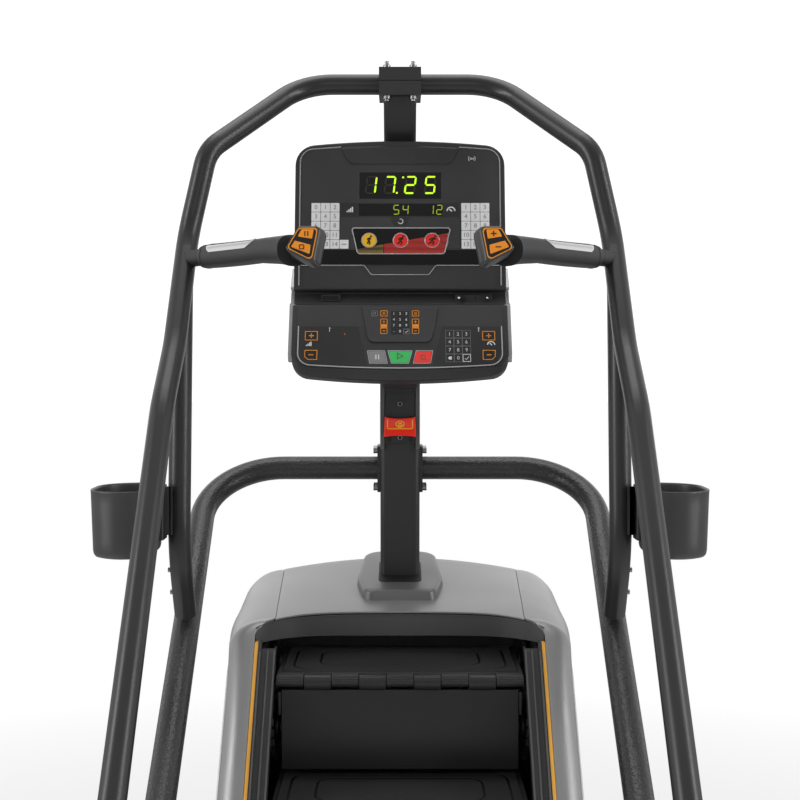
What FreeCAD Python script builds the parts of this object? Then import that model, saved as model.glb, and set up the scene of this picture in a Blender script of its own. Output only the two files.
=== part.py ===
import FreeCAD, Part
import math
import os

# Revolving stair climber.  Millimetres, +X to the user's right, +Y towards the
# front of the machine (away from the user), +Z up.  The origin is on the floor
# under the middle of the machine.

os.makedirs("parts", exist_ok=True)
V = FreeCAD.Vector

# ---- driving dimensions -----------------------------------------------------
HALF_LENGTH = 745.0        # floor frame, half its length
STEP_RISE = 200.0
STEP_RUN = 156.0
STEP_WIDTH = 450.0
TREAD_DEPTH = 230.0
TREAD_THICK = 24.0
TOP_NOSE = (188.0, 1008.0)  # y, z of the highest step's front edge
STEP_COUNT = 4
PITCH = math.hypot(STEP_RUN, STEP_RISE)

RAIL_R = 19.05             # side handrail tube, outer radius
RAIL_WALL = 2.5
RAIL_X = 375.5
GRAB_R = 23.5              # cushioned grab rail, outer radius
GRAB_CORE_R = 16.0

PILLAR_TOP = (231.0, 1063.0)
BODY_HALF = 316.0          # half width of the covers
PANEL_HALF = 338.0         # half width over the side panels
LINER_IN = 232.0
LINER_OUT = 261.0
STRIP_OUT = 267.5
SHELL = 4.0                # cover wall

CHAIN_BACK = 110.0         # chain line behind the line of the step noses
SPROCKET_R = 130.0
SHAFT_R = 17.5
CHAIN_X = 238.0

CONSOLE_HALF = 198.0
DISPLAY_TOP = (330.0, 1995.0)
DISPLAY_FOOT = (285.0, 1764.0)
DECK_TOP = (262.0, 1700.0)
DECK_FOOT = (198.0, 1560.0)

TOP_BAR = (327.0, 2102.0)
MAST_FOOT = (517.0, 1060.0)
MAST_KNEE = (487.0, 1530.0)
NECK_KNEE = (405.0, 1960.0)
NECK_TOP = (323.5, 2075.0)
MAST_SIDE = 80.0
MID_DEPTH = 62.0           # the mast gets shallower behind the console
NECK_WIDTH = 62.0
MAST_WALL = 3.0

RUN_ANGLE = math.atan2(STEP_RISE, STEP_RUN)
UP = V(0, math.cos(RUN_ANGLE), math.sin(RUN_ANGLE))       # up the stair
OUT = V(0, -math.sin(RUN_ANGLE), math.cos(RUN_ANGLE))     # off the stair, to the user


# ---- shape helpers ----------------------------------------------------------
def box(x0, x1, y0, y1, z0, z1):
    return Part.makeBox(x1 - x0, y1 - y0, z1 - z0, V(x0, y0, z0))


def rod(start, end, radius):
    return Part.makeCylinder(radius, (end - start).Length, start, end - start)


def rounded_edges(points, radii, closed):
    """Straight runs through the points, with a tangent arc at each corner."""
    count = len(points)
    edges = []
    joints = []
    for i, corner in enumerate(points):
        radius = radii[i] if isinstance(radii, (list, tuple)) else radii
        if radius <= 0 or (not closed and i in (0, count - 1)):
            joints.append((corner, None, corner))
            continue
        back = (points[i - 1] - corner).normalize()
        ahead = (points[(i + 1) % count] - corner).normalize()
        half = back.getAngle(ahead) / 2
        cut = radius / math.tan(half)
        middle = (back + ahead).normalize()
        centre = corner + middle * (radius / math.sin(half))
        joints.append((corner + back * cut, centre - middle * radius, corner + ahead * cut))
    for i, (first, mid, last) in enumerate(joints):
        if mid is not None:
            edges.append(Part.Arc(first, mid, last).toShape())
        if i < count - 1 or closed:
            following = joints[(i + 1) % count][0]
            if (following - last).Length > 1e-4:
                edges.append(Part.LineSegment(last, following).toShape())
    return edges


def plate(points, radii, depth):
    """A rounded outline, filled and thickened along the vector depth."""
    wire = Part.Wire(rounded_edges(points, radii, True))
    solid = Part.Face(wire).extrude(depth)
    return solid if solid.Volume > 0 else solid.reversed()


def side_plate(outline, radii, x0, x1):
    """A (y, z) outline thickened from x0 to x1."""
    return plate([V(x0, y, z) for y, z in outline], radii, V(x1 - x0, 0, 0))


def floor_plate(outline, radii, z0, z1):
    """An (x, y) outline thickened from z0 to z1; also for parts drawn flat before on_slope."""
    return plate([V(x, y, z0) for x, y in outline], radii, V(0, 0, z1 - z0))


def pipe(points, radii, radius):
    path = Part.Wire(rounded_edges(points, radii, False))
    ring = Part.Circle(points[0], points[1] - points[0], radius).toShape()
    return path.makePipeShell([Part.Wire(ring)], True, True)


def mirrored(shape):
    return shape.mirror(V(0, 0, 0), V(1, 0, 0))


def on_slope(shape, foot, top):
    """Stand a part drawn flat (x right, y up, z out) on the slope from foot to top."""
    angle = math.degrees(math.atan2(top[1] - foot[1], top[0] - foot[0]))
    placed = shape.copy()
    placed.Placement = FreeCAD.Placement(V(0, foot[0], foot[1]), FreeCAD.Rotation(V(1, 0, 0), angle))
    return placed


def save(name, *shapes):
    solids = []
    for shape in shapes:
        solids.extend(shape.Solids)
    result = solids[0] if len(solids) == 1 else Part.makeCompound(solids)
    result.exportStep("parts/%s.step" % name)


def save_pair(name, shape):
    save(name + "_right", shape)
    save(name + "_left", mirrored(shape))


def bolt_head(start, direction, radius, length, shank_r, shank):
    """A socket-head screw: head outside, shank going back into the work."""
    head = Part.makeCylinder(radius, length, start, direction)
    socket = Part.makeCylinder(radius * 0.5, length * 0.55, start + direction * (length * 0.45), direction)
    stem = Part.makeCylinder(shank_r, shank, start - direction * shank, direction)
    return head.cut(socket).fuse(stem)


# ---- floor frame ------------------------------------------------------------
RAIL_LOW = 34.0
RAIL_HIGH = 90.0
CROSS = 60.0
BASE_X = 290.0
TUBE = 3.0                 # wall of the floor frame's tubes
NEAR_HALF = 402.0          # half length of the cross beam at the user's end
FRONT_HALF = 322.0
FOOT_NEAR_X = 365.5
FOOT_Y = 715.0
WHEEL_Y = 702.0
WHEEL_Z = 44.0
WHEEL_R = 34.0
WHEEL_IN = 328.0
WHEEL_WIDTH = 26.0
WHEEL_PIN_R = 6.0

def tube_beam(x0, x1, y0, y1, z0, z1, along_x):
    """A square tube, open at both ends."""
    gap_x = 0 if along_x else TUBE
    gap_y = TUBE if along_x else 0
    bore = box(x0 + gap_x, x1 - gap_x, y0 + gap_y, y1 - gap_y, z0 + TUBE, z1 - TUBE)
    return box(x0, x1, y0, y1, z0, z1).cut(bore)


RUNNER_END = HALF_LENGTH - CROSS
runners = [tube_beam(side * BASE_X - 20, side * BASE_X + 20, -RUNNER_END, RUNNER_END, RAIL_LOW, RAIL_HIGH, False)
           for side in (-1, 1)]
rear_beam = tube_beam(-NEAR_HALF, NEAR_HALF, -HALF_LENGTH, -RUNNER_END, RAIL_LOW, RAIL_LOW + CROSS, True)
front_beam = tube_beam(-FRONT_HALF, FRONT_HALF, RUNNER_END, HALF_LENGTH, RAIL_LOW, RAIL_LOW + CROSS, True)
middle_beam = box(-BASE_X + 20, BASE_X - 20, 300, 350, RAIL_LOW, RAIL_HIGH - 6)
wheel_pins = [rod(V(side * FRONT_HALF, WHEEL_Y, WHEEL_Z), V(side * (WHEEL_IN + 30), WHEEL_Y, WHEEL_Z), WHEEL_PIN_R)
              for side in (-1, 1)]
base = runners[0].multiFuse([runners[1], rear_beam, front_beam, middle_beam] + wheel_pins)
save("base_frame", base)

feet = []
for x, y in ((-FOOT_NEAR_X, -FOOT_Y), (FOOT_NEAR_X, -FOOT_Y), (-BASE_X, FOOT_Y), (BASE_X, FOOT_Y)):
    pad = Part.makeCone(30, 22, 12, V(x, y, 0))
    stem = Part.makeCylinder(6, RAIL_LOW - 12, V(x, y, 12))
    nut = plate([V(x + 13 * math.cos(math.radians(60 * k)), y + 13 * math.sin(math.radians(60 * k)), 20)
                 for k in range(6)], 0, V(0, 0, 8))
    feet.append(pad.multiFuse([stem, nut]))
save("levelling_feet", *feet)

tyre = Part.makeCylinder(WHEEL_R, WHEEL_WIDTH, V(WHEEL_IN, WHEEL_Y, WHEEL_Z), V(1, 0, 0))
tyre = tyre.makeFillet(4, [e for e in tyre.Edges if e.Curve.TypeId == "Part::GeomCircle"])
wheel_bore = Part.makeCylinder(WHEEL_PIN_R + 0.06, WHEEL_WIDTH + 14, V(WHEEL_IN - 8, WHEEL_Y, WHEEL_Z), V(1, 0, 0))
tyre = tyre.cut(wheel_bore)
save_pair("transport_wheel", tyre)

# ---- stair line -------------------------------------------------------------
NOSE = V(0, TOP_NOSE[0], TOP_NOSE[1])
CENTRE_BACK = CHAIN_BACK + SPROCKET_R
UPPER = NOSE + UP * 60 - OUT * CENTRE_BACK
LOWER = NOSE - UP * 799 - OUT * CENTRE_BACK


def stair_step(nose):
    """One step: ribbed tread, hinge barrels along the nose, riser hanging from it."""
    half = STEP_WIDTH / 2
    y, z = nose.y, nose.z
    tread = box(-half, half, y + 8, y + TREAD_DEPTH, z - TREAD_THICK, z)
    tread = tread.cut(box(-half + 10, half - 10, y + 34, y + TREAD_DEPTH - 10, z - TREAD_THICK, z - 7))
    grooves = []
    for k in range(12):
        g = y + 30 + k * 15
        grooves.append(box(-half + 8, half - 8, g, g + 4, z - 2, z + 1))
    tread = tread.cut(Part.makeCompound(grooves))
    knuckles = 9
    span = STEP_WIDTH / knuckles
    pin_y, pin_z = y + 11, z - 11.5
    hubs = []
    straps = []
    for k in range(knuckles):
        x0 = -half + k * span + 0.5
        x1 = x0 + span - 1.0
        barrel = rod(V(x0, pin_y, pin_z), V(x1, pin_y, pin_z), 11)
        if k % 2 == 0:
            hubs.append(barrel)
            hubs.append(box(x0, x1, pin_y, pin_y + 20, pin_z - 8, z))
        else:
            straps.append(barrel)
            straps.append(box(x0, x1, pin_y - 4, pin_y + 6, pin_z - 26, pin_z))
    gaps = [box(-half + k * span - 0.5, -half + (k + 1) * span + 0.5, y - 2, pin_y + 13,
                pin_z - 40, z + 2) for k in range(1, knuckles, 2)]
    tread = tread.cut(Part.makeCompound(gaps))
    tread = tread.multiFuse(hubs)
    riser = box(-half + 9, half - 9, pin_y - 4, pin_y + 4, z - 174, pin_z - 15)
    riser = riser.multiFuse(straps)
    bore = rod(V(-half - 1, pin_y, pin_z), V(half + 1, pin_y, pin_z), 4.05)
    pin = rod(V(-half, pin_y, pin_z), V(half, pin_y, pin_z), 4.0)
    axle = rod(V(-CHAIN_X - 0.8, y + 142, z - 13), V(CHAIN_X + 0.8, y + 142, z - 13), 6.0)
    hole = rod(V(-half - 1, y + 142, z - 13), V(half + 1, y + 142, z - 13), 6.0)
    return tread.cut(bore).cut(hole), riser.cut(bore), pin, axle


for k in range(STEP_COUNT):
    nose = NOSE - UP * (PITCH * k)
    save("step_%d" % (k + 1), *stair_step(nose))


def chain_strand(offset, first, last, x):
    """A run of roller chain: side plates, with rollers between them."""
    start = NOSE + UP * first - OUT * offset
    along = UP * (last - first)
    links = []
    for side in (-1, 1):
        edge = start - OUT * 7 + V(x + side * 5 - 1.2, 0, 0)
        links.append(plate([edge, edge + along, edge + along + OUT * 14, edge + OUT * 14], 5, V(2.4, 0, 0)))
    pins = []
    count = int((last - first) / 25.4)
    for k in range(count):
        centre = start + UP * (12.7 + 25.4 * k) + V(x, 0, 0)
        pins.append(rod(centre - V(6.1, 0, 0), centre + V(6.1, 0, 0), 4.2))
    return links[0].multiFuse([links[1]] + pins)


FRONT_FIRST, FRONT_LAST = -700.0, -60.0
strands = [chain_strand(CHAIN_BACK, FRONT_FIRST, FRONT_LAST, side * (CHAIN_X + 7)) for side in (-1, 1)]
save("front_chains", *strands)

RETURN_LINE = CHAIN_BACK + 2 * SPROCKET_R
returns = []
for k in range(3):
    middle = NOSE - UP * (760 - PITCH * k) - OUT * (RETURN_LINE + 20)
    corner = middle - UP * (TREAD_DEPTH / 2) - OUT * 12 - V(STEP_WIDTH / 2, 0, 0)
    slab = plate([corner, corner + UP * TREAD_DEPTH, corner + UP * TREAD_DEPTH + OUT * 24,
                  corner + OUT * 24], 4, V(STEP_WIDTH, 0, 0))
    inner = corner + UP * 10 + V(10, 0, 0) + OUT * 7
    slab = slab.cut(plate([inner, inner + UP * (TREAD_DEPTH - 20), inner + UP * (TREAD_DEPTH - 20) + OUT * 20,
                           inner + OUT * 20], 0, V(STEP_WIDTH - 20, 0, 0)))
    axle_at = middle + OUT * 6
    axle = rod(axle_at - V(CHAIN_X + 0.8, 0, 0), axle_at + V(CHAIN_X + 0.8, 0, 0), 6.0)
    returns.append(slab.fuse(axle))
returns.extend(chain_strand(RETURN_LINE, -760.0, -200.0, side * (CHAIN_X + 7)) for side in (-1, 1))
save("return_steps", *returns)


def sprocket(centre, x0, x1, teeth):
    """A toothed wheel between x0 and x1, with round gullets and lightening holes."""
    wheel = rod(centre + V(x0, 0, 0), centre + V(x1, 0, 0), SPROCKET_R - 14)
    points = []
    for k in range(teeth * 2):
        angle = math.pi * k / teeth
        reach = SPROCKET_R - 14 if k % 2 else SPROCKET_R - 8
        points.append(centre + V(x0, reach * math.cos(angle), reach * math.sin(angle)))
    rim = plate(points, 0, V(x1 - x0, 0, 0))
    holes = []
    for k in range(5):
        angle = 2 * math.pi * k / 5
        spot = centre + V(x0 - 1, 72 * math.cos(angle), 72 * math.sin(angle))
        holes.append(rod(spot, spot + V(x1 - x0 + 2, 0, 0), 24))
    return wheel.fuse(rim).cut(Part.makeCompound(holes))


drive = [rod(UPPER - V(276, 0, 0), UPPER + V(276, 0, 0), SHAFT_R)]
for side in (-1, 1):
    x0 = CHAIN_X + 3 if side > 0 else -CHAIN_X - 11
    drive.append(sprocket(UPPER, x0, x0 + 8, 32).cut(rod(UPPER - V(300, 0, 0), UPPER + V(300, 0, 0), SHAFT_R)))
pulley = rod(UPPER + V(-292, 0, 0), UPPER + V(-276, 0, 0), 78)
pulley = pulley.fuse(rod(UPPER + V(-276, 0, 0), UPPER + V(-275, 0, 0), 30))
drive.append(pulley)
save("drive_shaft", *drive)

idlers = []
for side in (-1, 1):
    x0 = CHAIN_X + 3 if side > 0 else -CHAIN_X - 11
    stub = rod(LOWER + V(side * 232, 0, 0), LOWER + V(side * 276, 0, 0), SHAFT_R)
    idlers.append(stub)
    idlers.append(sprocket(LOWER, x0, x0 + 8, 32).cut(stub))
save("lower_idlers", *idlers)

# ---- inner side frames that carry the shafts --------------------------------
SIDE_IN, SIDE_OUT = 256.0, 262.0
CHEEK_OUTLINE = [(250, 1040), (-380, 232), (-380, 90), (640, 90), (600, 1062), (460, 1066)]
cheek = side_plate(CHEEK_OUTLINE, [20, 20, 0, 0, 30, 20], SIDE_IN, SIDE_OUT)
window = [(300, 760), (0, 376), (0, 330), (190, 330), (330, 500), (330, 760)]
cheek = cheek.cut(side_plate(window, 12, SIDE_IN - 1, SIDE_OUT + 1))
for spot in (UPPER, LOWER):
    hub = rod(spot + V(SIDE_IN - 4, 0, 0), spot + V(SIDE_OUT + 4, 0, 0), 40)
    cheek = cheek.fuse(hub).cut(rod(spot + V(200, 0, 0), spot + V(300, 0, 0), SHAFT_R + 0.05))
lug = box(SIDE_IN, BASE_X - 20, -340, 600, 84, 90)
save_pair("side_frame", cheek.fuse(lug))

# ---- resistance unit --------------------------------------------------------
BRAKE = V(0, 380, 200)
body = rod(BRAKE + V(-150, 0, 0), BRAKE + V(-60, 0, 0), 70)
body = body.fuse(box(-150, -60, 340, 420, 90, 160))
body = body.cut(rod(BRAKE + V(-200, 0, 0), BRAKE + V(0, 0, 0), 12.05))
save("brake_body", body)
rotor = rod(BRAKE + V(-253, 0, 0), BRAKE + V(-56, 0, 0), 12)
rotor = rotor.fuse(rod(BRAKE + V(-190, 0, 0), BRAKE + V(-170, 0, 0), 85))
rotor = rotor.fuse(rod(BRAKE + V(-252, 0, 0), BRAKE + V(-232, 0, 0), 26))
save("brake_rotor", rotor)

# ---- covers -----------------------------------------------------------------
SLOPE = STEP_RUN / STEP_RISE


def pillar_y(z):
    return PILLAR_TOP[0] + (z - PILLAR_TOP[1]) * SLOPE


ENTRY_Z = 208.0
ENTRY_NEAR = -660.0
ENTRY_FAR = -448.0
LID_Z = 1064.0             # top of the stair opening
COVER_TOP = 1300.0         # above every cover, where outlines are left open
HOOD_SLOPE = 0.16
HOOD_NEAR = 40.0
CROWN_SIDE = 1028.0        # shoulder height at HOOD_NEAR
CROWN = 26.0
SHOULDER = 78.0
SEAM_X = 238.0


def envelope(inset):
    """The arch that every cover stays under, rising towards the front."""
    half = BODY_HALF - inset
    side = CROWN_SIDE - inset
    points = [V(-half, HOOD_NEAR, 0), V(-half, HOOD_NEAR, side), V(0, HOOD_NEAR, side + CROWN),
              V(half, HOOD_NEAR, side), V(half, HOOD_NEAR, 0)]
    near = plate(points, [0, SHOULDER - inset, 1500, SHOULDER - inset, 0], V(0, 700, 700 * HOOD_SLOPE))
    return near.fuse(box(-half, half, -700, HOOD_NEAR, 0, 900))


def body_outline(inset):
    """Side view of the covers; an inset above zero gives the inner face."""
    lid = pillar_y(LID_Z) + inset * 1.6
    return [(lid, LID_Z), (pillar_y(ENTRY_Z + 60) + inset * 1.6, ENTRY_Z + 60),
            (-560 + inset, ENTRY_Z + 26 - inset), (-672 + inset, ENTRY_Z - 26 - inset),
            (-676 + inset, 100 - inset), (660 - inset, 100 - inset), (696 - inset, 300),
            (652 - inset, 1090), (652 - inset, COVER_TOP), (lid, COVER_TOP)]


BODY_RADII = [0, 120, 60, 40, 20, 20, 300, 0, 0, 0]
whole = side_plate(body_outline(0), BODY_RADII, -BODY_HALF, BODY_HALF).common(envelope(0))
hollow = side_plate(body_outline(SHELL), BODY_RADII, -BODY_HALF + SHELL, BODY_HALF - SHELL)
covers = whole.cut(hollow.common(envelope(SHELL)))
stair_well = side_plate([(-720, 0), (-720, LID_Z), (pillar_y(LID_Z) + 18, LID_Z), (pillar_y(0) + 18, 0)],
                        0, -STRIP_OUT - 0.5, STRIP_OUT + 0.5)


def brow(back, z0, z1):
    """Plan of the shallow curve where the hood meets the stair opening."""
    outline = [(-262, 150), (-262, 240 + back), (-90, 326 + back), (90, 326 + back), (262, 240 + back), (262, 150)]
    return floor_plate(outline, [0, 10, 260, 260, 10, 0], z0, z1)


mast_slot = box(-MAST_SIDE / 2 - 2, MAST_SIDE / 2 + 2, 440, 562, 1000, COVER_TOP)
hood = covers.common(box(-SEAM_X, SEAM_X, 100, 800, LID_Z, COVER_TOP)).cut(mast_slot).cut(brow(0, 1000, COVER_TOP))
save("hood_cover", hood)
front = covers.common(box(-STRIP_OUT + 1, STRIP_OUT - 1, 500, 800, 90, LID_Z - 0.5))
save("front_cover", front)
flank = covers.cut(stair_well).cut(box(-400, STRIP_OUT + 0.5, 100, 800, 0, LID_Z))
flank = flank.cut(brow(0, LID_Z, COVER_TOP)).common(box(SEAM_X + 0.8, 400, -800, 800, 0, COVER_TOP))
flank = max(flank.Solids, key=lambda s: s.Volume)
save_pair("side_cover", flank)
fascia = brow(7, 1056, COVER_TOP).cut(brow(1.5, 1000, COVER_TOP + 50)).common(envelope(SHELL + 0.4))
fascia = fascia.cut(box(-300, 300, 100, 239, 1000, COVER_TOP))
save("hood_fascia", fascia)

PANEL_NEAR = 190.0         # the side panels start this far behind the stair opening


def panel_outline(inset):
    near = PANEL_NEAR + inset * 1.1
    return [(pillar_y(1000) + near, 1000 - inset), (pillar_y(360) + near, 360 + inset), (-190 + inset, 140 + inset),
            (640 - inset, 140 + inset), (655 - inset, 320), (622 - inset, 1000 - inset)]


PANEL_RADII = [60, 150, 40, 60, 200, 60]
panel = side_plate(panel_outline(0), PANEL_RADII, BODY_HALF + 0.3, PANEL_HALF)
panel_room = side_plate(panel_outline(10), [r - 8 for r in PANEL_RADII], BODY_HALF - 1, PANEL_HALF - SHELL)
panel = panel.cut(panel_room)
save_pair("side_panel", panel)


def pillar_slab(x0, x1, z0, z1, near, far):
    """A strip that follows the sloping edge of the stair opening."""
    return side_plate([(pillar_y(z0) + near, z0), (pillar_y(z1) + near, z1),
                       (pillar_y(z1) + far, z1), (pillar_y(z0) + far, z0)], 0, x0, x1)


liner = pillar_slab(LINER_IN, LINER_OUT - 6, 280, 1048, 6, 12)
liner = liner.fuse(pillar_slab(LINER_IN - 3, LINER_IN, 280, 1048, 6, 26))
liner = liner.fuse(pillar_slab(LINER_OUT - 6, LINER_OUT, 280, 1060, -2, 12))
save("step_liners", liner, mirrored(liner))
strip = pillar_slab(LINER_OUT + 0.3, STRIP_OUT, 280, 1060, -3, 10)
save("accent_strips", strip, mirrored(strip))

pan_points = [(-STRIP_OUT + 2, -440), (STRIP_OUT - 2, -440), (STRIP_OUT - 2, 295), (-STRIP_OUT + 2, 295)]
pan = floor_plate(pan_points, 0, 20, 23)
hangers = [box(side * (BASE_X - 22) - 4, side * (BASE_X - 22) + 4, -440, 295, 20, 34) for side in (-1, 1)]
save("belly_pan", pan.multiFuse(hangers))

entry = side_plate([(ENTRY_NEAR, 96), (ENTRY_NEAR - 14, ENTRY_Z - 20), (ENTRY_NEAR + 20, ENTRY_Z),
                    (ENTRY_FAR, ENTRY_Z), (ENTRY_FAR, 96)], [0, 12, 14, 4, 0], -STRIP_OUT + 0.5, STRIP_OUT - 0.5)
entry = entry.cut(side_plate([(ENTRY_NEAR + 5, 90), (ENTRY_NEAR - 9, ENTRY_Z - 22), (ENTRY_NEAR + 22, ENTRY_Z - 5),
                              (ENTRY_FAR - 5, ENTRY_Z - 5), (ENTRY_FAR - 5, 90)], [0, 8, 10, 2, 0],
                             -STRIP_OUT + 5, STRIP_OUT - 5))
ribs = [box(-STEP_WIDTH / 2, STEP_WIDTH / 2, ENTRY_NEAR + 36 + 15 * k, ENTRY_NEAR + 40 + 15 * k,
            ENTRY_Z - 2, ENTRY_Z + 2) for k in range(11)]
save("entry_step", entry.cut(Part.makeCompound(ribs)))

# ---- mast -------------------------------------------------------------------
def mast_piece(low, high, width, depth, inset):
    """A rectangular tube that leans with the line from low to high."""
    half_w = width / 2 - inset
    half_d = depth / 2 - inset
    rings = []
    for y, z in (low, high):
        corners = [V(-half_w, y - half_d, z), V(half_w, y - half_d, z),
                   V(half_w, y + half_d, z), V(-half_w, y + half_d, z)]
        rings.append(Part.Wire(rounded_edges(corners, max(12 - inset, 2), True)))
    return Part.makeLoft(rings, True, True)


low_tube = mast_piece(MAST_FOOT, MAST_KNEE, MAST_SIDE, MAST_SIDE, 0)
low_tube = low_tube.cut(mast_piece(MAST_FOOT, MAST_KNEE, MAST_SIDE, MAST_SIDE, MAST_WALL))
mid_tube = mast_piece(MAST_KNEE, NECK_KNEE, MAST_SIDE, MID_DEPTH, 0)
top_tube = mast_piece(NECK_KNEE, NECK_TOP, NECK_WIDTH, 36, 0)
cross_tie = box(-SIDE_IN, SIDE_IN, 476, 556, 1056, 1060)
cross_tie = cross_tie.fuse(box(-SIDE_IN, SIDE_IN, 476, 480, 1026, 1058))
cross_tie = cross_tie.fuse(box(-SIDE_IN, SIDE_IN, 552, 556, 1026, 1058))
mast = low_tube.multiFuse([mid_tube, top_tube, cross_tie])
save("mast", mast)

boot_points = [(-70, 384), (70, 384), (87, 470), (74, 634), (-74, 634), (-87, 470)]
boot = floor_plate(boot_points, [22, 22, 160, 40, 40, 160], 1060, COVER_TOP)
above = side_plate([(340, 1119), (680, 1173), (680, 1400), (340, 1400)], 0, -200, 200)
boot = boot.cut(above).cut(envelope(-0.4))
boot = boot.cut(box(-MAST_SIDE / 2 - 1.5, MAST_SIDE / 2 + 1.5, 462, 560, 1000, COVER_TOP))
save("mast_boot", boot)

# ---- overhead clamp ---------------------------------------------------------
BAR_Y, BAR_Z = TOP_BAR
clamp_bore = rod(V(-60, BAR_Y, BAR_Z), V(60, BAR_Y, BAR_Z), RAIL_R + 0.05)
halves = []
for low, high in ((BAR_Z - 27, BAR_Z - 0.6), (BAR_Z + 0.6, BAR_Z + 25)):
    block = box(-39.5, 39.5, BAR_Y - 38, BAR_Y + 38, low, high).cut(clamp_bore)
    for x in (-24.6, 24.6):
        for y in (BAR_Y - 29, BAR_Y + 29):
            block = block.cut(rod(V(x, y, BAR_Z - 60), V(x, y, BAR_Z + 60), 4.2))
    halves.append(block)
save("top_clamp", *halves)

RAIL_FLANGE_Z = 1358.0
GRAB_Y = 500.0
bolts = []
for x in (-24.6, 24.6):
    for y in (BAR_Y - 29, BAR_Y + 29):
        stem = rod(V(x, y, BAR_Z - 37), V(x, y, BAR_Z + 37), 4.0)
        top_nut = Part.makeCylinder(7, 5, V(x, y, BAR_Z + 25.2))
        low_nut = Part.makeCylinder(7, 6, V(x, y, BAR_Z - 33.2))
        bolts.append(stem.multiFuse([top_nut, low_nut]))
for side in (-1, 1):
    for z in (RAIL_FLANGE_Z - 38, RAIL_FLANGE_Z + 38):
        for y in (GRAB_Y - 20, GRAB_Y + 20):
            bolts.append(bolt_head(V(side * 46.2, y, z), V(side, 0, 0), 6.5, 8, 4, 5.8))

# ---- side handrails ---------------------------------------------------------
RAIL_POINTS = [V(0.3, BAR_Y, BAR_Z), V(183.3, BAR_Y, BAR_Z), V(343, 182, 1954), V(RAIL_X, 166, 1802),
               V(RAIL_X, 26, 1606), V(RAIL_X, -84, 1509), V(RAIL_X, -715, 630), V(RAIL_X, -715, RAIL_LOW + CROSS)]
RAIL_BENDS = [0, 115, 70, 130, 200, 220, 220, 0]
rail = pipe(RAIL_POINTS, RAIL_BENDS, RAIL_R)
rail = rail.cut(pipe(RAIL_POINTS, RAIL_BENDS, RAIL_R - RAIL_WALL))
socket = rod(V(RAIL_X, -715, RAIL_LOW + CROSS), V(RAIL_X, -715, RAIL_LOW + CROSS + 6), 29)
socket = socket.cut(rod(V(RAIL_X, -715, 0), V(RAIL_X, -715, 300), RAIL_R - RAIL_WALL))
save_pair("handrail", rail.fuse(socket))

solid_rail = pipe(RAIL_POINTS, RAIL_BENDS, RAIL_R)

# uprights that drop from the handrail to the grab rail
UPRIGHT_POINTS = [V(RAIL_X, 100, 1712), V(RAIL_X, 54, 1262), V(RAIL_X, 114, 1138)]
UPRIGHT_BENDS = [0, 240, 0]
GRAB_POINTS = [V(52, GRAB_Y, RAIL_FLANGE_Z), V(392, GRAB_Y, RAIL_FLANGE_Z), V(352, -560, 638), V(RAIL_X, -715, 560)]
GRAB_BENDS = [0, 150, 160, 0]
solid_grab = pipe(GRAB_POINTS, GRAB_BENDS, GRAB_R)
upright = pipe(UPRIGHT_POINTS, UPRIGHT_BENDS, RAIL_R).cut(pipe(UPRIGHT_POINTS, UPRIGHT_BENDS, RAIL_R - RAIL_WALL))
upright = upright.cut(solid_rail).cut(solid_grab)
upright = max(upright.Solids, key=lambda s: s.Volume)
for y, z in ((72, 1222), (92, 1180)):
    screw = bolt_head(V(RAIL_X + RAIL_R - 1, y, z), V(1, 0, 0), 4.5, 4, 2.5, 6)
    upright = upright.cut(screw)
    bolts.extend([screw, mirrored(screw)])
save_pair("upright", upright)

# grab rail: steel core and cushioned sleeve in one section, with its mast flange
core = pipe(GRAB_POINTS, GRAB_BENDS, GRAB_CORE_R)
grab = solid_grab.cut(core).cut(solid_rail)
grab = max(grab.Solids, key=lambda s: s.Volume)
flange = plate([V(40.3, GRAB_Y - 30, RAIL_FLANGE_Z - 48), V(40.3, GRAB_Y + 30, RAIL_FLANGE_Z - 48),
                V(40.3, GRAB_Y + 30, RAIL_FLANGE_Z + 48), V(40.3, GRAB_Y - 30, RAIL_FLANGE_Z + 48)],
               10, V(5.7, 0, 0))
neck_ring = rod(V(46, GRAB_Y, RAIL_FLANGE_Z), V(52, GRAB_Y, RAIL_FLANGE_Z), GRAB_R)
drill = Part.makeCompound([rod(V(30, GRAB_Y + dy, RAIL_FLANGE_Z + dz), V(60, GRAB_Y + dy, RAIL_FLANGE_Z + dz), 4.0)
                           for dy in (-20, 20) for dz in (-38, 38)])
grab = grab.multiFuse([flange.cut(drill), neck_ring])
save_pair("grab_rail", grab)

save("rail_bolts", *bolts)

# ---- cup holders ------------------------------------------------------------
CUP_TOP, CUP_LOW = 1372.0, 1262.0


def cup_form(inset, z0, z1):
    points = [(400 + inset, -70 + inset), (444, -90 + inset), (504 - inset, -64 + inset),
              (504 - inset, 54 - inset), (444, 80 - inset), (400 + inset, 60 - inset)]
    radii = [r - inset for r in (22, 50, 56, 56, 50, 22)]
    return floor_plate(points, radii, z0, z1)


cup = cup_form(0, CUP_LOW, CUP_TOP).cut(cup_form(4, CUP_LOW + 5, CUP_TOP + 1))
ear = box(RAIL_X + RAIL_R - 1, 402, 20, 58, 1288, 1368)
cup = cup.fuse(ear).cut(pipe(UPRIGHT_POINTS, UPRIGHT_BENDS, RAIL_R + 0.02)).cut(solid_rail)
cup = cup.cut(cup_form(4, CUP_LOW + 5, CUP_TOP + 1))
save_pair("cup_holder", max(cup.Solids, key=lambda s: s.Volume))

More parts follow.
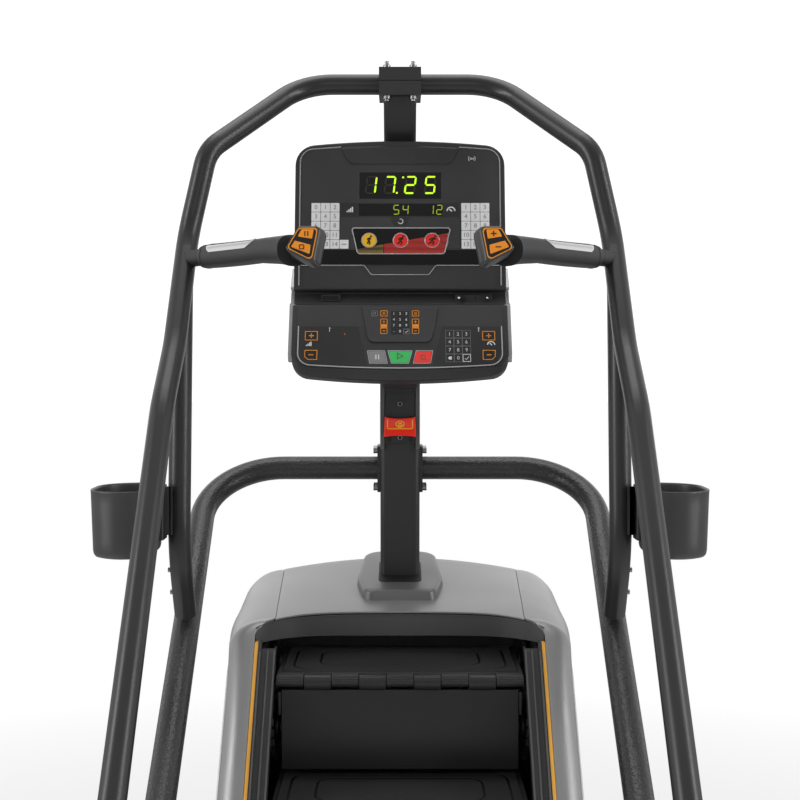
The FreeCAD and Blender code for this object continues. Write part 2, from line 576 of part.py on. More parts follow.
# ---- hand grips -------------------------------------------------------------
GRIP_Z = 1760.0
GRIP_START = V(RAIL_X, 138, GRIP_Z - 4)
GRIP_END = V(198, -26, GRIP_Z + 2)
grip_dir = (GRIP_END - GRIP_START).normalize()
stub = rod(GRIP_START, GRIP_START + grip_dir * 60, 15).cut(solid_rail)
stub = max(stub.Solids, key=lambda s: s.Volume)
sleeve_start = GRIP_START + grip_dir * 44
sleeve = rod(sleeve_start, GRIP_END, 20.3)
sleeve = sleeve.makeFillet(4, [e for e in sleeve.Edges if e.Curve.TypeId == "Part::GeomCircle"
                               and (e.CenterOfMass - sleeve_start).Length < 1])
pad_start = GRIP_START + grip_dir * 76
pad_end = GRIP_START + grip_dir * 190
pad_ring = rod(pad_start, pad_end, 21.0).cut(rod(pad_start, pad_end, 19.4))
pad_cut = Part.makeBox(200, 300, 60, V(180, -80, GRIP_Z + 2))
contact = pad_ring.common(pad_cut)
sleeve = sleeve.cut(contact)
save_pair("grip", stub.fuse(sleeve))
save("grip_contacts", contact, mirrored(contact))

# key pods: a tapered block at the inner end of each grip, facing the user and tilted up
POD_FOOT = (-58.0, 1728.0)
POD_TOP = (-42.0, 1788.0)


def on_pod(shape, side):
    turned = shape if side > 0 else mirrored(shape)
    return on_slope(turned, POD_FOOT, POD_TOP).translated(V(0, -34, 0))


POD_OUTLINE = [(136, 6), (183, 30), (161, 69), (125, 69)]
pod = floor_plate(POD_OUTLINE, 7, -26, 0)
lead = floor_plate([(140, 6), (196, 12), (205, 46), (170, 54), (140, 50)], 8, -52, -26)
pod = pod.fuse(lead)
KEY_UPPER = [(138, 46), (162, 50), (156, 62.5), (135.5, 62.5)]
KEY_LOWER = [(141.5, 20.5), (172.5, 33), (166, 43.8), (140, 36.5)]
pockets = Part.makeCompound([floor_plate(KEY_UPPER, 1.6, -4, 1), floor_plate(KEY_LOWER, 1.6, -4, 1)])
pod = pod.cut(pockets)


def shrunk(points, gap):
    """The outline moved in by about gap on every side."""
    cx = sum(p[0] for p in points) / len(points)
    cy = sum(p[1] for p in points) / len(points)
    result = []
    for x, y in points:
        reach = math.hypot(x - cx, y - cy)
        scale = (reach - gap * 1.5) / reach
        result.append((cx + (x - cx) * scale, cy + (y - cy) * scale))
    return result


upper_key = floor_plate(shrunk(KEY_UPPER, 0.5), 1.4, -2.6, 1.2)
lower_key = floor_plate(shrunk(KEY_LOWER, 0.5), 1.4, -2.6, 1.2)
for side, pod_name, names in ((1, "grip_pod_right", ("key_grip_faster", "key_grip_slower")),
                              (-1, "grip_pod_left", ("key_grip_pause", "key_grip_stop"))):
    sleeve_here = sleeve if side > 0 else mirrored(sleeve)
    save(pod_name, on_pod(pod, side).cut(sleeve_here))
    save(names[0], on_pod(upper_key, side))
    save(names[1], on_pod(lower_key, side))

# ---- console ----------------------------------------------------------------
CONSOLE_PROFILE = [(332, 1993), (288, 1766), (292, 1738), (266, 1704), (202, 1560), (214, 1540),
                   (330, 1548), (420, 1640), (414, 1760), (372, 1955), (356, 1992)]
CONSOLE_RADII = [6, 4, 4, 4, 6, 10, 60, 40, 60, 10, 6]
shell = side_plate(CONSOLE_PROFILE, CONSOLE_RADII, -CONSOLE_HALF, CONSOLE_HALF)
inner_profile = [(338, 1986), (296, 1766), (300, 1738), (274, 1702), (212, 1564), (218, 1546),
                 (328, 1554), (412, 1642), (407, 1758), (366, 1952), (352, 1986)]
cavity = side_plate(inner_profile, [2, 2, 2, 2, 3, 5, 50, 34, 52, 6, 3], -CONSOLE_HALF + 4, CONSOLE_HALF - 4)
mast_room = mast_piece(MAST_KNEE, NECK_KNEE, MAST_SIDE + 1, MID_DEPTH + 1, 0)
neck_room = mast_piece(NECK_KNEE, NECK_TOP, NECK_WIDTH + 1, 55, 0)
lower_room = mast_piece(MAST_FOOT, MAST_KNEE, MAST_SIDE + 1, MAST_SIDE + 1, 0)
shell = shell.cut(cavity).cut(mast_room).cut(neck_room).cut(lower_room)
bracket = box(-34, 34, 396, 440, 1700, 1780).cut(mast_room)
shell = max(shell.Solids, key=lambda s: s.Volume)

DISPLAY_LENGTH = math.hypot(DISPLAY_TOP[0] - DISPLAY_FOOT[0], DISPLAY_TOP[1] - DISPLAY_FOOT[1])
DECK_LENGTH = math.hypot(DECK_TOP[0] - DECK_FOOT[0], DECK_TOP[1] - DECK_FOOT[1])
display = floor_plate([(-190, 4), (190, 4), (190, DISPLAY_LENGTH - 22), (150, DISPLAY_LENGTH - 10),
                      (-150, DISPLAY_LENGTH - 10), (-190, DISPLAY_LENGTH - 22)], [6, 6, 16, 40, 40, 16], -5, 1)
display = on_slope(display, DISPLAY_FOOT, DISPLAY_TOP).cut(shell)
save("display_panel", max(display.Solids, key=lambda s: s.Volume))
deck = floor_plate([(-188, 4), (188, 4), (190, DECK_LENGTH - 6), (-190, DECK_LENGTH - 6)], [26, 26, 3, 3], -6, 1)
DECK_KEYS = {
    "key_pause": [(-55, 16), (-23, 16), (-28, 40), (-59, 40)],
    "key_go": [(-15.5, 16), (15.5, 16), (22, 40), (-22, 40)],
    "key_stop": [(24, 16), (55, 16), (59.5, 40), (29.5, 40)],
    "key_level_up": [(-175, 60), (-149, 60), (-149, 81), (-175, 81)],
    "key_level_down": [(-168, 21), (-149, 21), (-149, 43), (-175, 43), (-175, 28)],
    "key_speed_up": [(149, 60), (175, 60), (175, 81), (149, 81)],
    "key_speed_down": [(149, 21), (168, 21), (175, 28), (175, 43), (149, 43)],
}
key_wells = Part.makeCompound([floor_plate(points, 1.6, -9, 4) for points in DECK_KEYS.values()])
key_wells = on_slope(key_wells, DECK_FOOT, DECK_TOP)
deck = on_slope(deck, DECK_FOOT, DECK_TOP).cut(key_wells).cut(shell)
shell = shell.cut(key_wells)
shell = max(shell.Solids, key=lambda s: s.Volume)
save("console_shell", shell.fuse(bracket))
save("deck_panel", max(deck.Solids, key=lambda s: s.Volume))
for name, points in DECK_KEYS.items():
    key = floor_plate(shrunk(points, 0.5), 1.2, -3, 2.4)
    save(name, on_slope(key, DECK_FOOT, DECK_TOP))

# ---- emergency stop on the mast ---------------------------------------------
def mast_face(z):
    lean = (MAST_KNEE[0] - MAST_FOOT[0]) / (MAST_KNEE[1] - MAST_FOOT[1])
    return MAST_FOOT[0] + (z - MAST_FOOT[1]) * lean - MAST_SIDE / 2


STOP_FOOT = (mast_face(1412) - 0.2, 1412.0)
STOP_TOP = (mast_face(1512) - 0.2, 1512.0)
mount = floor_plate([(-31, 0), (31, 0), (31, 100), (-31, 100)], 3, 0, 6)
slots = Part.makeCompound([floor_plate([(x - 3.5, 8), (x + 3.5, 8), (x + 3.5, 54), (x - 3.5, 54)], 1, 2, 7)
                           for x in (-24, 24)])
mount = mount.cut(slots)
for y in (8, 76):
    mount = mount.cut(Part.makeCylinder(3.2, 3, V(0, y, 4)))
save("stop_mount", on_slope(mount, STOP_FOOT, STOP_TOP))
paddle = floor_plate([(-32, 17), (32, 17), (31, 54), (-31, 54)], [3, 3, 4, 4], 10.5, 17)
paddle = paddle.cut(Part.makeCylinder(60, 80, V(-40, 34, 75), V(1, 0, 0)))
for x in (-24, 24):
    paddle = paddle.fuse(floor_plate([(x - 2.9, 20), (x + 2.9, 20), (x + 2.9, 50), (x - 2.9, 50)], 1, 6.6, 13))
save("stop_paddle", on_slope(paddle, STOP_FOOT, STOP_TOP))
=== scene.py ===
import math

import bmesh
import bpy
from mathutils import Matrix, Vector


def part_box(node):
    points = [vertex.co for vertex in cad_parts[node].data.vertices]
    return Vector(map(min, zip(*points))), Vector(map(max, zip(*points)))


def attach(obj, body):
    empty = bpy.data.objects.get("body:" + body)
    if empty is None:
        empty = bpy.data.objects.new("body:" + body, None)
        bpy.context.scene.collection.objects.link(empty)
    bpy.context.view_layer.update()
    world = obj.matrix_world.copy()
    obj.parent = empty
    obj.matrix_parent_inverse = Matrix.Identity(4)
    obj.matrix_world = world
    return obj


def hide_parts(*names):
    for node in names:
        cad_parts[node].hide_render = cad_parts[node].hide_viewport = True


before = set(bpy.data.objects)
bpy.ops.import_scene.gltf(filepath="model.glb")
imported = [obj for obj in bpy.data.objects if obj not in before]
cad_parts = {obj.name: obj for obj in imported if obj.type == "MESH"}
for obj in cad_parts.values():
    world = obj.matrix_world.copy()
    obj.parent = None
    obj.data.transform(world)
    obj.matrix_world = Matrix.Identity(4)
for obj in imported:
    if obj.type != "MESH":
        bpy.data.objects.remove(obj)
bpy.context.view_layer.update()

# Lengths in this script are millimetres, turned into metres when a piece is made.
MM = 0.001
WELD = 1e-6                # points closer than this, in metres, are one point
FLAT = 0.05 * MM           # how far a point may lie below a face and still be on it
X = Vector((1, 0, 0))
Y = Vector((0, 1, 0))
Z = Vector((0, 0, 1))
SIDES = (("right", 1), ("left", -1))


# ---- materials --------------------------------------------------------------
DRIFT_SCALE = 6.0          # noise scale of the slow drifts of colour and gloss
GLOSS_DRIFT = 0.05         # how far the roughness drifts either way


def new_material(name):
    material = bpy.data.materials.new(name)
    material.use_nodes = True
    return material, material.node_tree, material.node_tree.nodes["Principled BSDF"]


def noise(tree, scale, detail=2.0):
    """Noise in the piece's own space, so that the grain moves with the piece."""
    coords = tree.nodes.new("ShaderNodeTexCoord")
    texture = tree.nodes.new("ShaderNodeTexNoise")
    texture.inputs["Scale"].default_value = scale
    texture.inputs["Detail"].default_value = detail
    tree.links.new(coords.outputs["Object"], texture.inputs["Vector"])
    return texture.outputs["Fac"]


def spread(tree, source, low, high, start=0.3, end=0.7):
    """Maps a noise onto the range from low to high."""
    node = tree.nodes.new("ShaderNodeMapRange")
    node.inputs["From Min"].default_value = start
    node.inputs["From Max"].default_value = end
    node.inputs["To Min"].default_value = low
    node.inputs["To Max"].default_value = high
    tree.links.new(source, node.inputs["Value"])
    return node.outputs["Result"]


def tint(tree, source, dark, light):
    """Mixes two colours by a noise. The dark one may be another node's output."""
    node = tree.nodes.new("ShaderNodeMix")
    node.data_type = "RGBA"
    if isinstance(dark, tuple):
        node.inputs["A"].default_value = (*dark, 1.0)
    else:
        tree.links.new(dark, node.inputs["A"])
    node.inputs["B"].default_value = (*light, 1.0)
    tree.links.new(source, node.inputs["Factor"])
    return node.outputs["Result"]


def add_bump(tree, shader, height, strength, depth):
    bump = tree.nodes.new("ShaderNodeBump")
    bump.inputs["Strength"].default_value = strength
    bump.inputs["Distance"].default_value = depth
    tree.links.new(height, bump.inputs["Height"])
    previous = shader.inputs["Normal"].links
    if previous:
        tree.links.new(previous[0].from_socket, bump.inputs["Normal"])
    tree.links.new(bump.outputs["Normal"], shader.inputs["Normal"])


def surface(name, colour, rough, metal=0.0, grain=600.0, relief=0.15, depth=0.0002,
            uneven=0.12, coat=0.0, wear=0.0):
    """A moulded, painted or metal surface: fine grain, slow drifts of colour and gloss, rubbed edges."""
    material, tree, shader = new_material(name)
    base = (colour,) * 3 if isinstance(colour, (int, float)) else colour
    drift = noise(tree, DRIFT_SCALE, 3.0)
    dark = tuple(c * (1 - uneven) for c in base)
    light = tuple(min(1.0, c * (1 + uneven)) for c in base)
    shade = tint(tree, spread(tree, drift, 0.0, 1.0), dark, light)
    if wear:
        geometry = tree.nodes.new("ShaderNodeNewGeometry")
        edges = spread(tree, geometry.outputs["Pointiness"], 0.0, wear, 0.52, 0.60)
        shade = tint(tree, edges, shade, tuple(min(1.0, c * 2.2 + 0.02) for c in base))
    tree.links.new(shade, shader.inputs["Base Color"])
    gloss = spread(tree, drift, rough - GLOSS_DRIFT, rough + GLOSS_DRIFT)
    tree.links.new(gloss, shader.inputs["Roughness"])
    shader.inputs["Metallic"].default_value = metal
    shader.inputs["Coat Weight"].default_value = coat
    shader.inputs["Coat Roughness"].default_value = 0.06
    add_bump(tree, shader, noise(tree, grain), relief, depth)
    return material


def wrinkled(name):
    """The stippled skin of the grab rail's sleeve: crinkles about a centimetre long, over a fine grain."""
    material = surface(name, 0.030, 0.30, grain=900, relief=0.2, depth=0.0002)
    tree = material.node_tree
    shader = tree.nodes["Principled BSDF"]
    coords = tree.nodes.new("ShaderNodeTexCoord")
    cells = tree.nodes.new("ShaderNodeTexVoronoi")
    cells.feature = "SMOOTH_F1"
    cells.inputs["Scale"].default_value = 250.0
    cells.inputs["Smoothness"].default_value = 0.7
    warp = tree.nodes.new("ShaderNodeTexNoise")
    warp.inputs["Scale"].default_value = 120.0
    tree.links.new(coords.outputs["Object"], warp.inputs["Vector"])
    shift = tree.nodes.new("ShaderNodeVectorMath")
    shift.operation = "MULTIPLY_ADD"
    shift.inputs[1].default_value = (0.008, 0.008, 0.008)
    tree.links.new(warp.outputs["Color"], shift.inputs[0])
    tree.links.new(coords.outputs["Object"], shift.inputs[2])
    tree.links.new(shift.outputs["Vector"], cells.inputs["Vector"])
    add_bump(tree, shader, cells.outputs["Distance"], 0.6, 0.0012)
    return material


def glowing(name, colour, strength):
    """A lit display segment: its glow varies a little from place to place."""
    material, tree, shader = new_material(name)
    shader.inputs["Base Color"].default_value = (*colour, 1.0)
    shader.inputs["Emission Color"].default_value = (*colour, 1.0)
    shader.inputs["Roughness"].default_value = 0.3
    glow = spread(tree, noise(tree, 180.0), strength * 0.85, strength)
    tree.links.new(glow, shader.inputs["Emission Strength"])
    return material


def dotted(name, colour, ground):
    """A printed screen of small dots."""
    material, tree, shader = new_material(name)
    coords = tree.nodes.new("ShaderNodeTexCoord")
    cells = tree.nodes.new("ShaderNodeTexVoronoi")
    cells.inputs["Scale"].default_value = 420.0
    cells.inputs["Randomness"].default_value = 0.15
    tree.links.new(coords.outputs["Object"], cells.inputs["Vector"])
    dots = spread(tree, cells.outputs["Distance"], 1.0, 0.0, 0.38, 0.46)
    tree.links.new(tint(tree, dots, ground, colour), shader.inputs["Base Color"])
    shader.inputs["Roughness"].default_value = 0.3
    return material


FINISH = {
    "rail": surface("rail_paint", 0.024, 0.34, grain=700, relief=0.10, uneven=0.06),
    "hammer": wrinkled("wrinkled_sleeve"),
    "frame": surface("frame_paint", 0.035, 0.45, grain=800, wear=0.5),
    "mast": surface("mast_paint", 0.024, 0.44, grain=900, uneven=0.08),
    "hood": surface("hood_grey", 0.30, 0.36, metal=0.45, grain=1800, relief=0.04, uneven=0.025),
    "silver": surface("panel_silver", 0.62, 0.34, metal=0.25, grain=1500, relief=0.05, uneven=0.02),
    "trim": surface("trim_silver", 0.62, 0.28, metal=0.7, grain=1500, relief=0.04, uneven=0.02),
    "flank": surface("flank_silver", 0.40, 0.32, metal=0.4, grain=1500, relief=0.05, uneven=0.02),
    "riser": surface("riser_black", 0.022, 0.40, grain=900, relief=0.15, uneven=0.06),
    "cheek": surface("mast_cheek", 0.090, 0.36, grain=1100, relief=0.1),
    "fascia": surface("fascia_dark", 0.085, 0.42, grain=1200, uneven=0.05),
    "boot": surface("boot_grey", 0.16, 0.36, metal=0.45, grain=1500, relief=0.06, uneven=0.03),
    "liner": surface("liner_dark", 0.040, 0.42, grain=900),
    "amber": surface("amber_trim", (0.85, 0.42, 0.06), 0.35, grain=1400, relief=0.4),
    "step": surface("step_black", 0.016, 0.48, grain=500, relief=0.3, wear=0.5),
    "shell": surface("console_black", 0.034, 0.38, grain=1300, relief=0.3, depth=0.0001),
    "display": surface("display_gloss", 0.045, 0.20, grain=900, relief=0.01, coat=0.5),
    "glass": surface("lamp_glass", 0.008, 0.10, grain=900, relief=0.01, coat=0.6),
    "deck": surface("deck_matte", 0.024, 0.36, grain=1300, relief=0.2, depth=0.0001),
    "pad": surface("deck_pad", 0.040, 0.40, grain=1300, relief=0.2, depth=0.0001),
    "cup": surface("cup_plastic", 0.045, 0.38, grain=900, relief=0.12, uneven=0.05),
    "grip": surface("grip_rubber", 0.032, 0.45, grain=1000, relief=0.3),
    "contact": surface("contact_steel", 0.86, 0.14, metal=1.0, grain=300, relief=0.03, uneven=0.02),
    "pod": surface("pod_plastic", 0.048, 0.34, grain=1200, relief=0.2),
    "key_amber": surface("key_amber", (0.90, 0.30, 0.02), 0.38, grain=900, relief=0.1, uneven=0.04),
    "key_grey": surface("key_grey", 0.25, 0.36, uneven=0.04),
    "key_green": surface("key_green", (0.05, 0.55, 0.13), 0.36, uneven=0.04),
    "key_red": surface("key_red", (0.95, 0.045, 0.035), 0.36, uneven=0.04),
    "key_dark": surface("key_dark", 0.014, 0.34, uneven=0.04),
    "key_white": surface("key_white", 0.84, 0.35, uneven=0.02),
    "ink": surface("ink_dark", 0.10, 0.5),
    "ink_white": surface("ink_white", 0.75, 0.45, uneven=0.03),
    "ink_grey": surface("ink_grey", 0.22, 0.45, uneven=0.03),
    "ink_amber": surface("ink_amber", (0.85, 0.30, 0.02), 0.4, uneven=0.03),
    "yellow": surface("button_yellow", (0.90, 0.50, 0.01), 0.35, uneven=0.03),
    "red": surface("button_red", (0.80, 0.025, 0.015), 0.35, uneven=0.03),
    "lit": glowing("lamp_lit", (0.50, 0.86, 0.015), 0.95),
    "dim": glowing("lamp_dim", (0.22, 0.30, 0.012), 0.9),
    "off": surface("lamp_off", (0.028, 0.022, 0.016), 0.35),
    "dots_red": dotted("dots_red", (0.50, 0.04, 0.03), (0.30, 0.02, 0.015)),
    "dots_yellow": dotted("dots_yellow", (0.30, 0.19, 0.03), (0.06, 0.045, 0.02)),
    "stop": surface("stop_red", (0.95, 0.035, 0.02), 0.32, uneven=0.04),
    "steel": surface("bolt_steel", 0.30, 0.30, metal=1.0, uneven=0.1),
    "chain": surface("chain_steel", 0.25, 0.35, metal=1.0),
    "cast": surface("brake_cast", 0.12, 0.5, metal=0.6),
    "rubber": surface("foot_rubber", 0.012, 0.7),
    "belly": surface("inner_steel", 0.10, 0.45, metal=0.8),
    # Near-black: where it fills holes, wells and gaps it is painted shade standing for their shadowed
    # insides; on the quick buttons it is the print of the figures.
    "print_and_shade_black": surface("painted_recess_shade_and_print", 0.004, 0.6),
}


# ---- forms: lists of points and faces, in millimetres -----------------------
def rounded(points, radii, steps=8):
    """A closed flat outline with a tangent arc at each corner that has a radius."""
    outline = []
    count = len(points)
    if isinstance(radii, (int, float)):
        radii = [radii] * count
    for i, radius in enumerate(radii):
        corner = Vector(points[i])
        back = (Vector(points[i - 1]) - corner).normalized()
        ahead = (Vector(points[(i + 1) % count]) - corner).normalized()
        if radius <= 0:
            outline.append(corner)
            continue
        half = back.angle(ahead) / 2
        centre = corner + (back + ahead).normalized() * (radius / math.sin(half))
        first = corner + back * (radius / math.tan(half)) - centre
        last = corner + ahead * (radius / math.tan(half)) - centre
        start = math.atan2(first.y, first.x)
        turn = (math.atan2(last.y, last.x) - start + math.pi) % (2 * math.pi) - math.pi
        for k in range(steps + 1):
            angle = start + turn * k / steps
            outline.append(centre + Vector((math.cos(angle), math.sin(angle))) * radius)
    return outline


def ellipse(x, y, wide, tall, steps):
    turns = [2 * math.pi * k / steps for k in range(steps)]
    return [Vector((x + wide * math.cos(turn), y + tall * math.sin(turn))) for turn in turns]


def circle(x, y, radius, steps=32):
    return ellipse(x, y, radius, radius, steps)


def arc(x, y, radius, start, end, steps):
    """Points on a circle from one angle to another, in degrees."""
    turns = [math.radians(start + (end - start) * k / steps) for k in range(steps + 1)]
    return [Vector((x + radius * math.cos(turn), y + radius * math.sin(turn))) for turn in turns]


def flat(*points):
    """A flat outline or route through these points."""
    return [Vector(p) for p in points]


def rectangle(x0, x1, y0, y1, radius=0.0, steps=4):
    return rounded([(x0, y0), (x1, y0), (x1, y1), (x0, y1)], radius, steps)


def loft(rings, around=False):
    """A skin through rings of equal length, capped at both ends unless it runs around."""
    count = len(rings[0])
    points = [p for ring in rings for p in ring]
    faces = []
    for r in range(len(rings) if around else len(rings) - 1):
        a = r * count
        b = (r + 1) % len(rings) * count
        for k in range(count):
            following = (k + 1) % count
            faces.append((a + k, a + following, b + following, b + k))
    if not around:
        faces.append(tuple(range(count))[::-1])
        faces.append(tuple(range((len(rings) - 1) * count, len(rings) * count)))
    return points, faces


def joined(forms):
    points, faces = [], []
    for some_points, some_faces in forms:
        offset = len(points)
        points.extend(some_points)
        faces.extend(tuple(i + offset for i in face) for face in some_faces)
    return points, faces


def mirror(form):
    points, faces = form
    return [Vector((-p[0], p[1], p[2])) for p in points], [face[::-1] for face in faces]


def turned(form, sign):
    """The form for one side: as it is on the right, mirrored on the left."""
    return form if sign > 0 else mirror(form)


def round_edges(made, name, width, steps, degrees):
    rounding = made.modifiers.new(name, "BEVEL")
    rounding.width = width * MM
    rounding.segments = steps
    rounding.limit_method = "ANGLE"
    rounding.angle_limit = math.radians(degrees)


def piece(name, form, finish, slot, body="frame", replaces=(), bevel=0.0, bevel_steps=2, sharp=35.0):
    """Makes a form into an object that rides on a body, with rounded edges and smooth shading."""
    mesh = bpy.data.meshes.new(name)
    mesh.from_pydata([tuple(c * MM for c in p) for p in form[0]], [], form[1])
    work = bmesh.new()
    work.from_mesh(mesh)
    bmesh.ops.remove_doubles(work, verts=work.verts, dist=WELD)
    bmesh.ops.recalc_face_normals(work, faces=work.faces)
    work.to_mesh(mesh)
    work.free()
    mesh.materials.append(FINISH[finish])
    made = bpy.data.objects.new(name, mesh)
    bpy.context.collection.objects.link(made)
    if bevel:
        round_edges(made, "rounded_edges", bevel, bevel_steps, sharp)
    mesh.shade_smooth()
    with_angle(made, sharp)
    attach(made, body)
    if replaces:
        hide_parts(*replaces)
    return made


def side_pieces(name, form, finish, slot, node=None, make=piece, **options):
    """The piece for the right side and its mirror image for the left, each in place of its own node."""
    for side, sign in SIDES:
        replaces = ["%s_%s" % (node, side)] if node else ()
        make("%s_%s" % (name, side), turned(form, sign), finish, slot, replaces=replaces, **options)


def with_angle(made, degrees):
    """Marks the edges sharper than this angle, so that flat faces stay flat under smooth shading."""
    work = bmesh.new()
    work.from_mesh(made.data)
    for edge in work.edges:
        if len(edge.link_faces) == 2:
            edge.smooth = edge.calc_face_angle(0.0) < math.radians(degrees)
    work.to_mesh(made.data)
    work.free()


def tube(points, radius, steps):
    """A round bar swept through points, with its ends closed."""
    rings = []
    for i, point in enumerate(points):
        ahead = points[min(i + 1, len(points) - 1)] - points[max(i - 1, 0)]
        ahead.normalize()
        side = ahead.cross(Z).normalized() if abs(ahead.z) < 0.95 else ahead.cross(Y).normalized()
        over = side.cross(ahead)
        turns = [2 * math.pi * k / steps for k in range(steps)]
        rings.append([point + side * (radius * math.cos(turn)) + over * (radius * math.sin(turn))
                      for turn in turns])
    return loft(rings)


class Slope:
    """The front face of a CAD node: x to the right, up from its lower edge, out of the face."""

    def __init__(self, node):
        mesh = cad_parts[node].data
        front = max((p for p in mesh.polygons if p.normal.y < -0.6), key=lambda p: p.area)
        self.out = front.normal.copy()
        self.up = self.out.cross(X).normalized()
        level = max(v.co.dot(self.out) for v in mesh.vertices)
        on_face = [v.co for v in mesh.vertices if abs(v.co.dot(self.out) - level) < 0.2 * MM]
        low = min(co.dot(self.up) for co in on_face)
        self.height = (max(co.dot(self.up) for co in on_face) - low) / MM
        self.foot = (self.out * level + self.up * low) / MM

    def at(self, x, up, out=0.0):
        return self.foot + X * x + self.up * up + self.out * out

    def plate(self, outline, low, high):
        """A solid plate with this outline, from low to high above the face."""
        return loft([[self.at(p[0], p[1], level) for p in outline] for level in (low, high)])

    def frame(self, outer, inner, low, high):
        """A flat ring between two outlines with equal numbers of points."""
        rings = [[self.at(p[0], p[1], level) for p in outline]
                 for outline, level in ((outer, low), (outer, high), (inner, high), (inner, low))]
        return loft(rings, around=True)

    def line(self, route, width, low, high):
        """A flat line of constant width along an open route."""
        left, right = [], []
        for i, p in enumerate(route):
            after, before = route[min(i + 1, len(route) - 1)], route[max(i - 1, 0)]
            ahead = (Vector(after) - Vector(before)).normalized()
            across = Vector((-ahead.y, ahead.x)) * (width / 2)
            left.append(Vector(p) + across)
            right.append(Vector(p) - across)
        rings = [[self.at(a.x, a.y, low), self.at(a.x, a.y, high),
                  self.at(b.x, b.y, high), self.at(b.x, b.y, low)] for a, b in zip(left, right)]
        return loft(rings)

    def text(self, words, x, up, size, low, high):
        """Plain figures standing on the face, centred on x and up."""
        curve = bpy.data.curves.new("figures", "FONT")
        curve.body = words
        curve.size = size
        curve.align_x = "CENTER"
        curve.align_y = "CENTER"
        curve.extrude = (high - low) / 2
        curve.resolution_u = 3
        holder = bpy.data.objects.new("figures", curve)
        bpy.context.collection.objects.link(holder)
        bpy.context.view_layer.update()
        solid = holder.evaluated_get(bpy.context.evaluated_depsgraph_get())
        mesh = bpy.data.meshes.new_from_object(solid)
        form = ([self.at(x + v.co.x, up + v.co.y, (low + high) / 2 + v.co.z) for v in mesh.vertices],
                [tuple(p.vertices) for p in mesh.polygons])
        bpy.data.objects.remove(holder)
        bpy.data.curves.remove(curve)
        bpy.data.meshes.remove(mesh)
        return form


def scaled(outline, factor):
    cx = sum(p[0] for p in outline) / len(outline)
    cy = sum(p[1] for p in outline) / len(outline)
    return [Vector((cx + (p[0] - cx) * factor, cy + (p[1] - cy) * factor)) for p in outline]


def inset(outline, gap):
    """The outline moved inwards by gap, point by point."""
    area = sum(a[0] * b[1] - b[0] * a[1] for a, b in zip(outline, outline[1:] + outline[:1]))
    turn = 1 if area > 0 else -1
    moved = []
    for i, p in enumerate(outline):
        before = (Vector(p) - Vector(outline[i - 1])).normalized()
        after = (Vector(outline[(i + 1) % len(outline)]) - Vector(p)).normalized()
        normal = Vector((-(before + after).y, (before + after).x)).normalized() * turn
        lean = max(0.3, Vector((-before.y, before.x)).dot(normal) * turn)
        moved.append(Vector(p) + normal * (gap / lean))
    return moved


def ramp(value, low, high):
    """Rises smoothly from 0 at low to 1 at high."""
    t = min(1.0, max(0.0, (value - low) / (high - low)))
    return t * t * (3 - 2 * t)


def box_of(node):
    low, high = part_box(node)
    return low / MM, high / MM


# ---- console ----------------------------------------------------------------
CONSOLE_HALF = 198.0
DISPLAY = Slope("display_panel")
DECK = Slope("deck_panel")
PANEL_EDGE = 4.0           # the panels start this far above the foot of their slopes
TRAY_UP = (-54.0, 134.0)   # the tray's mouth: lower end of the display slope, upper end of the deck
GLASS = 1.2                # the glass stands this proud of the display slope


def console_profile():
    """Side view (y, z) of the console, from the top of the display round to its back."""
    display_low = DISPLAY.at(0, TRAY_UP[0] - PANEL_EDGE, -1)
    display_high = DISPLAY.at(0, DISPLAY.height + 9, -1)
    deck_high = DECK.at(0, TRAY_UP[1] - PANEL_EDGE, -1)
    deck_low = DECK.at(0, -PANEL_EDGE + 1, -1)
    low, high = box_of("console_shell")
    corners = [(display_high.y + 22, high.z + 4, 8), (display_high.y, high.z + 4, 5),
               (display_low.y, display_low.z, 5), (display_low.y + 22, display_low.z - 3, 3),
               (deck_high.y + 26, deck_high.z + 2, 3), (deck_high.y, deck_high.z, 3),
               (deck_low.y, deck_low.z, 5), (deck_low.y + 3, deck_low.z - 18, 6),
               (deck_low.y + 24, low.z - 4, 12), (deck_low.y + 128, low.z + 8, 60),
               (high.y, low.z + 100, 40), (high.y - 8, low.z + 220, 60),
               (high.y - 48, high.z - 40, 30)]
    outline = rounded([corner[:2] for corner in corners], [corner[2] for corner in corners], 6)
    return outline, low.z, high.z


def corner_drop(x, radius):
    """How far a round corner at the console's end falls away at this place across it."""
    return radius - math.sqrt(max(0.0, radius ** 2 - max(0.0, abs(x) - (CONSOLE_HALF - radius)) ** 2))


def console_ring(x, shrink, profile, low, high):
    """The side view at one place across the console: the ends are rounded in the front view."""
    bow = 12 * (x / CONSOLE_HALF) ** 2
    top_corner = corner_drop(x, 34)
    low_corner = corner_drop(x, 30)
    tail = 46 * ramp(abs(x), 110, CONSOLE_HALF)
    ring = []
    for y, z in profile:
        top = ramp(z, high - 95, high) * (bow + top_corner)
        foot = (1 - ramp(z, low, low + 75)) * (bow * 1.1 + low_corner)
        back = ramp(y, 330, 420) * tail
        ring.append(Vector((x, y - top * DISPLAY.up.y + foot * DECK.up.y - back,
                            z - top * DISPLAY.up.z + foot * DECK.up.z)))
    if shrink:
        middle = sum(ring, Vector()) / len(ring)
        ring = [p + (middle - p).normalized() * shrink for p in ring]
    return ring


def stations(half, corner, steps=7):
    """Places across the console, close together where its corners turn."""
    outer = [half - corner + corner * math.sin(math.pi / 2 * k / steps) for k in range(steps + 1)]
    inner = [outer[0] * k / 6 for k in range(6)]
    positive = inner + outer
    return [-x for x in reversed(positive[1:])] + positive


